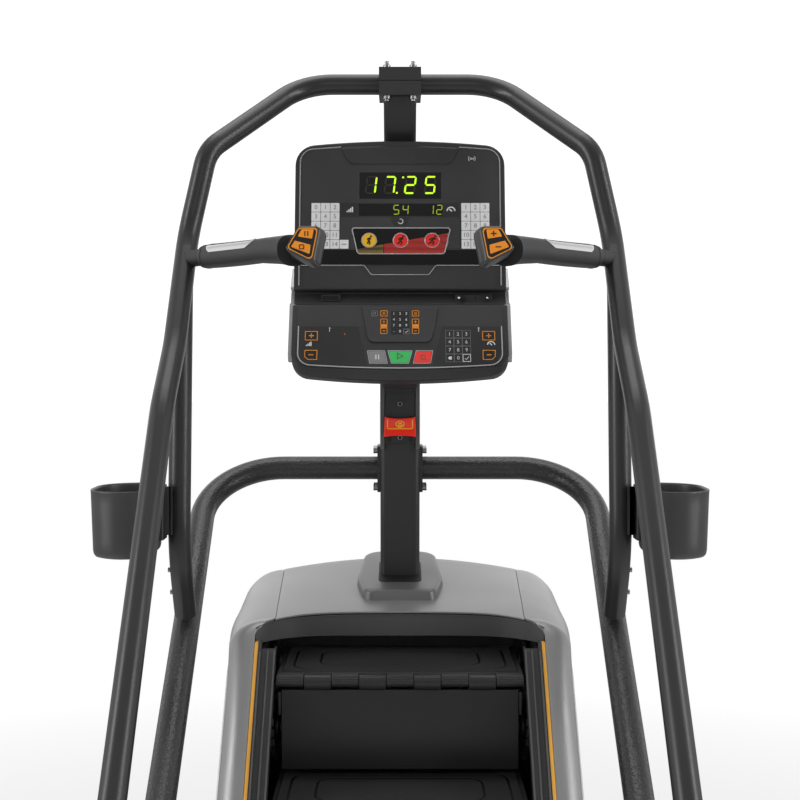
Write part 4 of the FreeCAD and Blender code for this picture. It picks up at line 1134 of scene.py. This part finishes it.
def make_boot():
    low, high = box_of("mast_boot")
    plan = rounded([(-70, low.y), (70, low.y), (87, low.y + 86), (74, high.y), (-74, high.y),
                    (-87, low.y + 86)], [22, 22, 160, 40, 40, 160], 10)
    rings = []
    for gap, rise in ((-2.5, 0.0), (-0.6, 0.35), (0, 0.7), (1.4, 0.86), (4, 0.96), (9, 1.0), (16, 1.02)):
        ring = []
        for p in inset(plan, gap):
            ground = hood_z(p.x, p.y) - 3
            ring.append(Vector((p.x, p.y, ground + (boot_top(p.y) - ground) * rise)))
        rings.append(ring)
    piece("mast_boot_skin", loft(rings), "boot", "fascia_dark", replaces=["mast_boot"], sharp=60)
    # painted shade: a near-black band round the collar stands for the shadowed gap between boot and mast
    collar = rounded([(-42, 434), (42, 434), (42, 562), (-42, 562)], 12, 6)
    seat = [[Vector((p.x, p.y, boot_top(p.y) + lift)) for p in inset(collar, gap)]
            for gap, lift in ((-1.6, -4), (-1.5, 0.6), (-1.0, 1.1), (0.2, 1.1))]
    piece("mast_boot_gap", loft(seat), "print_and_shade_black", "fascia_dark", sharp=50)


def make_fascia():
    """The dark plate under the hood's brow, with a lip along its top."""
    plate, lips = [], []
    half, steps = 268, 48
    for k in range(steps + 1):
        x = -half + 2 * half * k / steps
        y = brow_y(x) + 3.5
        top = min(hood_z(x, brow_y(x)) - 6.5, slope_z(y) + 1)
        low = LID - 15 + 6 * (abs(x) / half) ** 4
        section = ((0, top), (5, top), (5, low), (1.5, low))
        plate.append([Vector((x, y + out, z)) for out, z in section])
        section = ((-1.6, 0.6), (1, 1.4), (1, -1.8), (-1.6, -1.8))
        lips.append([Vector((x, y + out, top + rise)) for out, rise in section])
    piece("hood_fascia_plate", loft(plate), "fascia", "fascia_dark", replaces=["hood_fascia"], bevel=0.6)
    piece("hood_fascia_lip", loft(lips), "cheek", "fascia_dark", bevel=0.4)


def make_liner_ribs():
    ribs = []
    low, top = 285, box_of("step_liners")[1].z - 14
    for sign in (-1, 1):
        for x, reach in ((231, 4), (243, 4.5), (257, -4)):
            rib = []
            for k in range(13):
                z = low + (top - low) * k / 12
                y = slope_y(z) + reach
                rib.append([Vector((sign * (x + dx), y + dy, z))
                            for dx, dy in ((-1.5, 0), (1.5, 0), (1.5, 4), (-1.5, 4))])
            ribs.append(loft(rib))
    piece("liner_ribs", joined(ribs), "cheek", "liner_dark", bevel=0.5)


# ---- stairs -----------------------------------------------------------------
TREAD_DEPTH = 230.0
KNUCKLES = 9
PIN_RADIUS = 11.0


def cross_bar(profile, x0, x1):
    """A side profile (y, z) carried from x0 to x1."""
    return loft([[Vector((x, p[0], p[1])) for p in profile] for x in (x0, x1)])


def race_track(depth, half_w, half_d, corner):
    """Half width of a rounded loop at this depth from its middle, or None outside it."""
    if abs(depth) >= half_d:
        return None
    over = max(0.0, abs(depth) - (half_d - corner))
    return half_w - corner + math.sqrt(max(0.0, corner ** 2 - over ** 2))


def tread_ribs(half):
    """Fine ribs across the tread, broken by two looping channels."""
    forms = []
    pitch = 5.0
    count = int((TREAD_DEPTH - 40) / pitch)
    middle = 34 + count * pitch / 2
    for k in range(count):
        y = 32 + k * pitch
        spans = [(0.0, half - 9)]
        for half_w, half_d, corner in ((half - 24, 92, 44), (half - 72, 62, 34)):
            end = race_track(y - middle, half_w, half_d, corner)
            if end is None:
                continue
            start = race_track(y - middle, half_w - 5, half_d - 5, corner - 5) or 0.0
            cut = [span for a, b in spans for span in ((a, min(b, start)), (max(a, end), b))]
            spans = [(a, b) for a, b in cut if b - a > 2]
        profile = [(y, -0.4), (y + 0.4, 1.3), (y + 2.8, 1.3), (y + 3.2, -0.4)]
        for a, b in spans:
            for x0, x1 in ((a, b), (-b, -a)) if a > 0 else ((-b, b),):
                forms.append(cross_bar(profile, x0, x1))
    return forms


def tread_forms(half):
    """The tread's plate, its two side edges and the lips along its front and back."""
    thick, back = 24.0, TREAD_DEPTH
    plate = rounded([(22, -3), (back, -3), (back, -thick), (back - 8, -thick), (back - 14, -9), (32, -9),
                     (26, -thick), (20, -thick)], [1, 3, 1, 1, 2, 2, 1, 1], 3)
    forms = [cross_bar(plate, -half, half)]
    edge = rounded([(21, 0), (back - 1, 0), (back - 1, -thick), (21, -thick)], 2.5, 3)
    for sign in (-1, 1):
        forms.append(cross_bar(edge, sign * (half - 7), sign * half))
    for near, far, radius in ((20, 29, 1), (back - 8, back, 1.5)):
        lip = rounded([(near, -0.2), (far, -0.2), (far, -8), (near, -8)], radius, 2)
        forms.append(cross_bar(lip, -half, half))
    return forms


def hinge_and_riser_forms(half):
    """Grooved knuckles that belong to the tread, and the riser with its own knuckles and clips."""
    hubs, straps = [], []
    y, z = PIN_RADIUS, -PIN_RADIUS - 0.5
    span = 2 * half / KNUCKLES
    for k in range(KNUCKLES):
        x0 = -half + k * span + 0.7
        x1 = x0 + span - 1.4
        if k % 2 == 0:
            ring = arc(y, z, PIN_RADIUS, 90, 285, 13) + flat((y + 12, z - 9), (y + 12, z + PIN_RADIUS))
            hubs.append(cross_bar(ring, x0, x1))
            for centre in arc(y, z, PIN_RADIUS, 118, 169, 3):
                hubs.append(cross_bar(circle(centre.x, centre.y, 0.9, 8), x0 + 1, x1 - 1))
        else:
            ring = arc(y, z, PIN_RADIUS, -40, 185, 15)
            ring += flat((y - PIN_RADIUS + 0.6, z - 11), (y - 4, z - 17), (y + 5, z - 17))
            straps.append(cross_bar(ring, x0, x1))
    inner = half - 9
    riser = rounded([(y - 4, z - 16), (y + 4, z - 16), (y + 4, -174), (y - 4, -174)], 1.5, 3)
    straps.append(cross_bar(riser, -inner, inner))
    clip = rounded([(y - 6, z - 20), (y + 8, z - 20), (y + 8, z - 64), (y - 2, z - 64)], 2, 3)
    for sign in (-1, 1):
        straps.append(cross_bar(clip, sign * (inner + 1), sign * (inner + 6)))
    return hubs, straps


def make_steps():
    """Four steps, each made with its front edge at the origin and moved to its place."""
    half = box_of("step_1")[1].x - 13.8
    hubs, straps = hinge_and_riser_forms(half)
    forms = {"tread": joined(tread_forms(half)), "ribs": joined(tread_ribs(half)), "knuckles": joined(hubs),
             "riser": joined(straps)}
    options = {"tread": {"bevel": 0.5}, "ribs": {}, "knuckles": {"sharp": 50},
               "riser": {"bevel": 0.6, "sharp": 50}}
    for number in range(1, 5):
        node = "step_%d" % number
        low, high = box_of(node)
        offset = Vector((0, low.y, high.z))
        for part, (points, faces) in forms.items():
            moved = ([p + offset for p in points], faces)
            piece("%s_%s" % (node, part), moved, "riser" if part == "riser" else "step", "step_black",
                  body="front_stairs", replaces=[node] if part == "tread" else (), **options[part])


# ---- mast, stop paddle, clamp -----------------------------------------------
STOP = Slope("stop_mount")


def make_mast_details():
    cheeks = []
    top = 150
    for sign in (-1, 1):
        outline = rounded([(sign * 31.5, -12), (sign * 40, -12), (sign * 40, top), (sign * 31.5, top)],
                          [1, 4, 1, 1], 4)
        cheeks.append(STOP.plate(outline[::sign], -7, 0.6))
    piece("mast_cheeks", joined(cheeks), "cheek", "powder_frame", bevel=1.6, bevel_steps=3)
    recess = rectangle(-31.2, 31.2, 100.5, top, 1)
    piece("mast_recess", STOP.plate(recess, -7, -1.5), "mast", "powder_frame", bevel=0.5)
    collar = rounded([(-33, 112), (33, 112), (35, 126), (-35, 126)], 2, 3)
    piece("mast_collar", STOP.plate(collar, -2, 2.5), "mast", "powder_frame", bevel=1.0)
    mount = rounded([(-30.5, 1), (30.5, 1), (30.5, 101), (-30.5, 101)], 3, 4)
    piece("stop_mount_plate", STOP.plate(mount, -6, -1.2), "mast", "pod_plastic", replaces=["stop_mount"],
          bevel=0.6)
    # painted shade: the strips, the rings round the screws and the screws' sockets are flat near-black sheets
    # standing for shadowed recesses
    dark = [STOP.plate(rectangle(x - 4.4, x + 4.4, 3, 56, 2), -1.4, -0.9) for x in (-22, 22)]
    rims = []
    for up in (12, 80):
        dark.append(STOP.plate(circle(0, up, 6.4), -1.4, -0.8))
        dark.append(STOP.plate(circle(0, up, 1.9, 6), 0.2, 0.6))
        rims.append(STOP.frame(circle(0, up, 5.2), circle(0, up, 3.2), -1.2, 0.3))
    piece("stop_mount_wells", joined(dark), "print_and_shade_black", "pod_plastic")
    piece("stop_mount_screws", joined(rims), "steel", "bolt_steel", bevel=0.4)


PADDLE = (17.0, 53.0)      # lower and upper edge of the paddle on the mount's slope
PADDLE_BACK = 4.6


def paddle_out(up):
    """How far the paddle's scooped front stands out, midway across."""
    t = (up - PADDLE[0]) / (PADDLE[1] - PADDLE[0])
    return 10.8 - 4.6 * math.sin(math.pi * t) + 5.0 * (1 - ramp(t, 0, 0.45))


def paddle_skin():
    """A closed skin: the scooped front, the flat back and a wall round both."""
    rows, count = 13, 25
    fronts, backs = [], []
    for k in range(rows):
        t = k / (rows - 1)
        up = PADDLE[0] + (PADDLE[1] - PADDLE[0]) * t
        bow = 4.0 if t > 0.5 else -2.2
        for c in range(count):
            across = 2 * c / (count - 1) - 1
            x, y = (32 - 1.2 * t) * across, up + bow * (abs(across) ** 2.2 - 0.4)
            fronts.append(STOP.at(x, y, paddle_out(up) + 1.6 * across ** 4))
            backs.append(STOP.at(x, y, PADDLE_BACK))
    total = rows * count
    faces = []
    for r in range(rows - 1):
        a, b = r * count, (r + 1) * count
        for k in range(a, b - 1):
            faces.append((k, k + 1, k + 1 + count, k + count))
            faces.append((total + k, total + k + count, total + k + 1 + count, total + k + 1))
        faces.append((a, b, total + b, total + a))
        faces.append((b - 1, total + b - 1, total + b + count - 1, b + count - 1))
    for k in range(count - 1):
        last = total - count + k
        faces.append((k, total + k, total + k + 1, k + 1))
        faces.append((last, last + 1, total + last + 1, total + last))
    return fronts + backs, faces


def on_paddle(route, radius, lift, steps=8):
    """A thin bar laid on the paddle's front along this route."""
    return tube([STOP.at(x, up, paddle_out(up) + lift) for x, up in route], radius, steps)


def make_stop_paddle():
    """A red paddle, scooped across its front, with a yellow outline and a hand-in-ring mark."""
    piece("stop_paddle_skin", paddle_skin(), "stop", "stop_red", body="stop_paddle", replaces=["stop_paddle"],
          bevel=1.0, bevel_steps=3, sharp=40)
    corners = rounded([(-25, 50), (-25, 31), (25, 31), (25, 50)], [0, 3, 3, 0], 5)
    outline = [a.lerp(b, k / 6) for a, b in zip(corners, corners[1:]) for k in range(6)] + [corners[-1]]
    ring = ellipse(0, 40.5, 8.2, 6.2, 28)
    palm = ellipse(0, 39.4, 3.4, 2.6, 16)
    marks = [on_paddle(outline, 1.15, 0.35), on_paddle(ring + ring[:1], 1.2, 0.35),
             on_paddle(palm + palm[:1], 1.1, 0.2)]
    for x in (-2.4, 0, 2.4):
        marks.append(on_paddle(flat((x, 40.5), (x * 1.2, 44.4)), 0.6, 0.3, 6))
    piece("stop_paddle_marks", joined(marks), "yellow", "key_amber", body="stop_paddle")


# ---- cup holders ------------------------------------------------------------
def make_cup_holders():
    low, high = box_of("cup_holder_right")
    inner_x = high.x - 104
    outline = rounded([(inner_x, low.y + 20), (inner_x + 44, low.y), (high.x, low.y + 26),
                       (high.x, high.y - 26), (inner_x + 44, high.y), (inner_x, high.y - 20)],
                      [22, 50, 56, 56, 50, 22], 9)
    middle = Vector((high.x - 52, (low.y + high.y) / 2))
    height = high.z - low.z

    def level(z, scale, gap=0.0):
        ring = inset(outline, gap) if gap else outline
        return [Vector((middle.x + (p.x - middle.x) * scale, middle.y + (p.y - middle.y) * scale, z))
                for p in ring]

    rings = [level(low.z + up, scale) for up, scale in ((0, 0.80), (1.5, 0.88), (5, 0.925), (11, 0.947))]
    rings += [level(low.z + 11 + (height - 15) * k / 6, 0.947 + 0.05 * k / 6) for k in range(1, 7)]
    rings += [level(high.z + up, scale)
              for up, scale in ((-2.6, 1.004), (-0.8, 1.004), (0, 0.998), (0.3, 0.985), (-0.4, 0.968))]
    rings.append(level(high.z - 1.6, 0.955, 0.6))
    rings += [level(high.z - 4 - (height - 12) * k / 6, 0.952 - 0.045 * k / 6, 0.8) for k in range(7)]
    rings += [level(low.z + 5.5, 0.86, 1), level(low.z + 4.2, 0.78, 1)]
    side_pieces("cup_holder_bowl", loft(rings), "cup", "cup_plastic", "cup_holder", sharp=60)

    def upright(x0, x1, y0, y1, z0, z1, radius):
        return loft([[Vector((p.x, p.y, z)) for p in rectangle(x0, x1, y0, y1, radius, 3)] for z in (z0, z1)])

    rail_x = box_of("handrail_right")[1].x - 19
    bracket = [upright(rail_x - 2, inner_x + 6, 28, 32, 1288, 1370, 1.2),
               upright(rail_x - 2, rail_x + 2.5, 28, 44, 1288, 1370, 1.2),
               upright(inner_x - 4, inner_x + 3, 20, 58, 1280, 1371, 2)]
    side_pieces("cup_bracket", joined(bracket), "cup", "cup_plastic", bevel=0.8)
    mat = loft([level(low.z + 5.0, 0.84, 3), level(low.z + 6.6, 0.83, 3)])
    side_pieces("cup_mat", mat, "rubber", "cup_plastic", bevel=0.5)


# ---- hand grips and their key pods ------------------------------------------
def squared(part):
    """Pushes a circle's coordinate outwards a little, towards a square."""
    return math.copysign(abs(part) ** 0.86, part)


def swept(stations):
    """A bar through stations (centre, direction, half width, half height), with round-cornered sections."""
    rings = []
    for centre, ahead, wide, tall in stations:
        side = ahead.cross(Z).normalized()
        over = side.cross(ahead.normalized())
        rings.append([centre + side * (wide * squared(p.x)) + over * (tall * squared(p.y))
                      for p in circle(0, 0, 1, 28)])
    return loft(rings)


SLEEVE_AT = 44.0           # where the rubber sleeve starts along the grip


def contact_pad(start, along, length):
    """The polished plate that lies round the sleeve's upper side."""
    side = along.cross(Z).normalized()
    over = side.cross(along)
    if over.z < 0:
        over = -over
    first, last = SLEEVE_AT + 20, length - 44
    rings = []
    for k in range(17):
        centre = start + along * (first + (last - first) * k / 16)
        fade = min(1.0, min(k, 16 - k) / 1.5)
        turns = [math.radians(90 - 42 * fade + 84 * fade * j / 12) + 0.62 for j in range(13)]
        rings.append([centre + side * (wide * math.cos(turn)) + over * (tall * math.sin(turn))
                      for wide, tall, order in ((21.9, 22.1, 1), (18.6, 18.8, -1))
                      for turn in turns[::order]])
    return loft(rings)


def grip_sleeve(start, along, length, pod):
    """The rubber sleeve, swelling a little along the hand and bending into the pod."""
    stations = [(start + along * (SLEEVE_AT + t), along, radius, radius)
                for t, radius in ((0.0, 16.5), (0.8, 18.4), (3, 19.4), (9, 19.6), (10, 19.9))]
    for k in range(1, 13):
        t = SLEEVE_AT + 10 + (length - 50 - SLEEVE_AT) * k / 12
        swell = 0.9 * math.sin(math.pi * k / 12)
        stations.append((start + along * t, along, 19.9 + swell, 20.2 + swell))
    bend = start + along * (length - 40)
    inside = pod.at(0, pod.height / 2, -34)
    end = Vector((box_of("grip_pod_right")[0].x + 46, inside.y, inside.z))
    towards = (end - bend).normalized()
    for k in range(1, 9):
        t = k / 8
        centre = bend.lerp(end, t) + along * (12 * math.sin(math.pi * t))
        heading = along.lerp(towards + pod.out * 0.5, ramp(t, 0, 1))
        stations.append((centre, heading, 20.5 + 7 * t, 20.5 + 5 * t))
    return swept(stations)


def make_grips():
    pod = Slope("grip_pod_right")
    low, high = box_of("grip_right")
    middle = (low.z + high.z) / 2
    start = Vector((high.x - 2, high.y - 14, middle - 2))
    end = Vector((low.x + 13, low.y + 16, middle + 2))
    along = (end - start).normalized()
    length = (end - start).length
    stub = swept([(start + along * t, along, 14.5, 14.5) for t in (-4, SLEEVE_AT + 4)])
    collar = swept([(start + along * (SLEEVE_AT + t), along, r, r)
                    for t, r in ((8.4, 19.0), (9.0, 20.6), (10.6, 20.6), (11.2, 19.0))])
    sleeve = grip_sleeve(start, along, length, pod)
    contact = contact_pad(start, along, length)
    for side, sign in SIDES:
        piece("grip_stub_" + side, turned(stub, sign), "mast", "textured_grip", sharp=50)
        piece("grip_sleeve_" + side, turned(sleeve, sign), "grip", "grip_rubber", replaces=["grip_" + side],
              sharp=50)
        piece("grip_collar_" + side, turned(collar, sign), "grip", "grip_rubber", sharp=50)
        piece("grip_contact_" + side, turned(contact, sign), "contact", "contact_metal",
              replaces=["grip_contacts"] if sign > 0 else (), sharp=40)


def hull(spots):
    """The outer points of a set, in order round it."""
    ordered = sorted({(round(p.x, 2), round(p.y, 2)) for p in spots})

    def half(points):
        chain = []
        for p in points:
            while len(chain) > 1 and ((chain[-1][0] - chain[-2][0]) * (p[1] - chain[-2][1])
                                      - (chain[-1][1] - chain[-2][1]) * (p[0] - chain[-2][0])) <= 0:
                chain.pop()
            chain.append(p)
        return chain[:-1]
    return [Vector(p) for p in half(ordered) + half(ordered[::-1])]


def even(outline, count):
    """The outline again, as count points evenly spaced."""
    ends = outline[1:] + outline[:1]
    lengths = [(b - a).length for a, b in zip(outline, ends)]
    total = sum(lengths)
    result = []
    index, passed = 0, 0.0
    for k in range(count):
        target = total * k / count
        while passed + lengths[index] < target:
            passed += lengths[index]
            index += 1
        result.append(outline[index].lerp(ends[index], (target - passed) / lengths[index]))
    return result


def shrunk(outline, gap):
    """The outline drawn in by about gap on every side, keeping its corners clean."""
    xs = [p[0] for p in outline]
    ys = [p[1] for p in outline]
    cx, cy = (min(xs) + max(xs)) / 2, (min(ys) + max(ys)) / 2
    sx = 1 - 2 * gap / (max(xs) - min(xs))
    sy = 1 - 2 * gap / (max(ys) - min(ys))
    return [Vector((cx + (p[0] - cx) * sx, cy + (p[1] - cy) * sy)) for p in outline]


def make_pods():
    pod = Slope("grip_pod_right")
    face = even(top_outline("grip_pod_right", pod)[0], 96)
    rings = []
    for out, gap, slide in ((-46, 10, -1), (-34, 3, -5), (-22, -1.0, -8), (-12, -1.2, -6.5), (-5, -0.4, -2.5),
                            (-1.8, 0.3, -0.6), (-0.4, 1.5, 0), (0.0, 3.2, 0)):
        rings.append([pod.at(p.x + slide, p.y + slide * 0.5, out) for p in shrunk(face, gap)])
    shell = loft(rings)
    outline = pod.frame(shrunk(face, 4.0), shrunk(face, 5.9), -0.3, 0.5)
    well = pod.plate(shrunk(face, 5.8), -0.3, 0.2)
    for side, sign in SIDES:
        piece("grip_pod_shell_" + side, turned(shell, sign), "pod", "pod_plastic",
              replaces=["grip_pod_" + side], sharp=50)
        piece("grip_pod_outline_" + side, turned(outline, sign), "ink_amber", "key_amber")
        piece("grip_pod_well_" + side, turned(well, sign), "key_dark", "pod_plastic")
    for node, kind, sign, twin in (("key_grip_pause", "pause", -1, "key_grip_faster"),
                                   ("key_grip_stop", "stop", -1, "key_grip_slower"),
                                   ("key_grip_faster", "plus", 1, "key_grip_faster"),
                                   ("key_grip_slower", "minus", 1, "key_grip_slower")):
        key, centre, height = top_outline(twin, pod)
        cap = pod.plate(key, height - 3.5, height)
        mark = joined(sign_marks(pod, kind, centre, 9.0, height - 0.1, height + 0.25))
        piece(node + "_cap", turned(cap, sign), "key_amber", "key_amber", body=node, replaces=[node],
              bevel=0.6, bevel_steps=3)
        piece(node + "_mark", turned(mark, sign), "key_dark", "key_dark", body=node)


# ---- edges of the CAD nodes that stay ---------------------------------------
KEPT_EDGES = {"mast": 1.6, "top_clamp": 2.0, "step_liners": 0.5, "entry_step": 1.0, "brake_body": 1.0}


def round_kept_edges():
    for name, width in KEPT_EDGES.items():
        round_edges(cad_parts[name], "rounded_edges", width, 2, 40)


# ---- finishes of the CAD nodes that stay as they are ------------------------
NODE_FINISH = {
    "base_frame": "frame", "levelling_feet": "rubber", "belly_pan": "belly", "mast": "mast",
    "mast_boot": "boot", "top_clamp": "mast", "rail_bolts": "steel", "hood_cover": "hood",
    "hood_fascia": "fascia", "front_cover": "hood", "step_liners": "liner", "accent_strips": "amber",
    "entry_step": "step", "grip_contacts": "contact", "console_shell": "shell", "display_panel": "display",
    "deck_panel": "deck", "key_pause": "key_grey", "key_go": "key_green", "key_stop": "key_red",
    "key_level_up": "key_dark", "key_level_down": "key_dark", "key_speed_up": "key_dark",
    "key_speed_down": "key_dark", "stop_mount": "mast", "stop_paddle": "stop", "front_chains": "chain",
    "return_steps": "step", "drive_shaft": "chain", "lower_idlers": "chain", "brake_body": "cast",
    "brake_rotor": "chain", "key_grip_pause": "key_amber", "key_grip_stop": "key_amber",
    "key_grip_faster": "key_amber", "key_grip_slower": "key_amber",
}
for hand, _ in SIDES:
    NODE_FINISH.update({
        "transport_wheel_" + hand: "rubber", "side_frame_" + hand: "belly", "side_cover_" + hand: "hood",
        "side_panel_" + hand: "silver", "handrail_" + hand: "rail", "upright_" + hand: "rail",
        "grab_rail_" + hand: "hammer", "cup_holder_" + hand: "cup", "grip_" + hand: "grip",
        "grip_pod_" + hand: "pod",
    })
for number in range(1, 5):
    NODE_FINISH["step_%d" % number] = "step"


def finish_cad_nodes():
    for name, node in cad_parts.items():
        node.data.materials.clear()
        node.data.materials.append(FINISH[NODE_FINISH[name]])


# ---- stage, light and camera ------------------------------------------------
def make_stage():
    work = bmesh.new()
    bmesh.ops.create_circle(work, cap_ends=True, segments=96, radius=40.0)
    mesh = bpy.data.meshes.new("floor")
    work.to_mesh(mesh)
    work.free()
    floor = bpy.data.objects.new("floor", mesh)
    bpy.context.collection.objects.link(floor)
    material, tree, shader = new_material("floor")
    shader.inputs["Base Color"].default_value = (0.86, 0.86, 0.86, 1.0)
    shader.inputs["Roughness"].default_value = 0.7
    glow = tree.nodes.new("ShaderNodeEmission")
    path = tree.nodes.new("ShaderNodeLightPath")
    tree.links.new(spread(tree, path.outputs["Is Camera Ray"], 0.30, 1.0, 0.0, 1.0), glow.inputs["Strength"])
    coords = tree.nodes.new("ShaderNodeTexCoord")
    reach = tree.nodes.new("ShaderNodeVectorMath")
    reach.operation = "LENGTH"
    mix = tree.nodes.new("ShaderNodeMixShader")
    tree.links.new(coords.outputs["Object"], reach.inputs[0])
    tree.links.new(spread(tree, reach.outputs["Value"], 0.0, 1.0, 1.2, 3.8), mix.inputs["Fac"])
    tree.links.new(shader.outputs["BSDF"], mix.inputs[1])
    tree.links.new(glow.outputs["Emission"], mix.inputs[2])
    tree.links.new(mix.outputs["Shader"], tree.nodes["Material Output"].inputs["Surface"])
    mesh.materials.append(material)


def area_light(name, place, target, size, power):
    data = bpy.data.lights.new(name, "AREA")
    data.shape = "RECTANGLE"
    data.size, data.size_y = size
    data.energy = power
    light = bpy.data.objects.new(name, data)
    light.location = place
    light.rotation_mode = "QUATERNION"
    light.rotation_quaternion = (Vector(target) - Vector(place)).to_track_quat("-Z", "Y")
    bpy.context.collection.objects.link(light)


def make_world():
    """A white studio: it lights the object from above, behind and both sides, less from the front."""
    world = bpy.data.worlds.new("studio")
    world.use_nodes = True
    tree = world.node_tree
    back = tree.nodes["Background"]
    back.inputs["Color"].default_value = (1.0, 1.0, 1.0, 1.0)
    coords = tree.nodes.new("ShaderNodeTexCoord")
    axes = tree.nodes.new("ShaderNodeSeparateXYZ")
    tree.links.new(coords.outputs["Generated"], axes.inputs["Vector"])

    def calculate(operation, a, b):
        node = tree.nodes.new("ShaderNodeMath")
        node.operation = operation
        for socket, value in zip(node.inputs, (a, b)):
            if isinstance(value, (int, float)):
                socket.default_value = value
            else:
                tree.links.new(value, socket)
        return node.outputs["Value"]

    sideways = calculate("ABSOLUTE", axes.outputs["X"], 0.0)
    sides = spread(tree, sideways, 0.0, 0.75, 0.35, 0.80)
    above = spread(tree, axes.outputs["Z"], 0.0, 0.60, 0.35, 0.95)
    behind = spread(tree, axes.outputs["Y"], 0.0, 1.1, 0.10, 0.80)
    lit = calculate("MAXIMUM", calculate("MAXIMUM", sides, above), behind)
    studio = calculate("ADD", lit, 0.03)
    path = tree.nodes.new("ShaderNodeLightPath")
    tree.links.new(calculate("MAXIMUM", studio, path.outputs["Is Camera Ray"]), back.inputs["Strength"])
    bpy.context.scene.world = world


def make_light():
    make_world()
    area_light("overhead", (0, 0.6, 4.4), (0, 0.2, 1.2), (2.6, 2.0), 36)
    area_light("left_strip", (-3.0, -1.2, 2.2), (0, 0, 1.3), (0.5, 3.0), 42)
    area_light("right_strip", (3.0, -1.2, 2.2), (0, 0, 1.3), (0.5, 3.0), 42)
    area_light("front_fill", (0, -4.2, 2.6), (0, 0, 1.3), (2.4, 1.6), 12)
    bpy.context.scene.view_settings.view_transform = "Standard"


EYE = (0.0, -2.035, 1.590)
PITCH_DOWN = math.radians(2.0868)
LENS = 55.6
SENSOR = 36.0


def make_camera():
    data = bpy.data.cameras.new("camera")
    data.lens = LENS
    data.sensor_width = SENSOR
    camera = bpy.data.objects.new("camera", data)
    camera.location = EYE
    camera.rotation_euler = (math.pi / 2 - PITCH_DOWN, 0, 0)
    bpy.context.collection.objects.link(camera)
    bpy.context.scene.camera = camera


finish_cad_nodes()
make_console_shell()
make_display()
make_lamps()
make_display_keypads()
make_quick_buttons()
make_display_icons()
make_tray()
make_deck()
make_deck_graphics()
make_deck_keys()
make_side_covers()
make_hood()
make_front_cover()
make_side_panels()
make_boot()
make_fascia()
make_liner_ribs()
make_steps()
make_mast_details()
make_stop_paddle()
make_cup_holders()
make_grips()
make_pods()
round_kept_edges()
make_stage()
make_light()
make_camera()
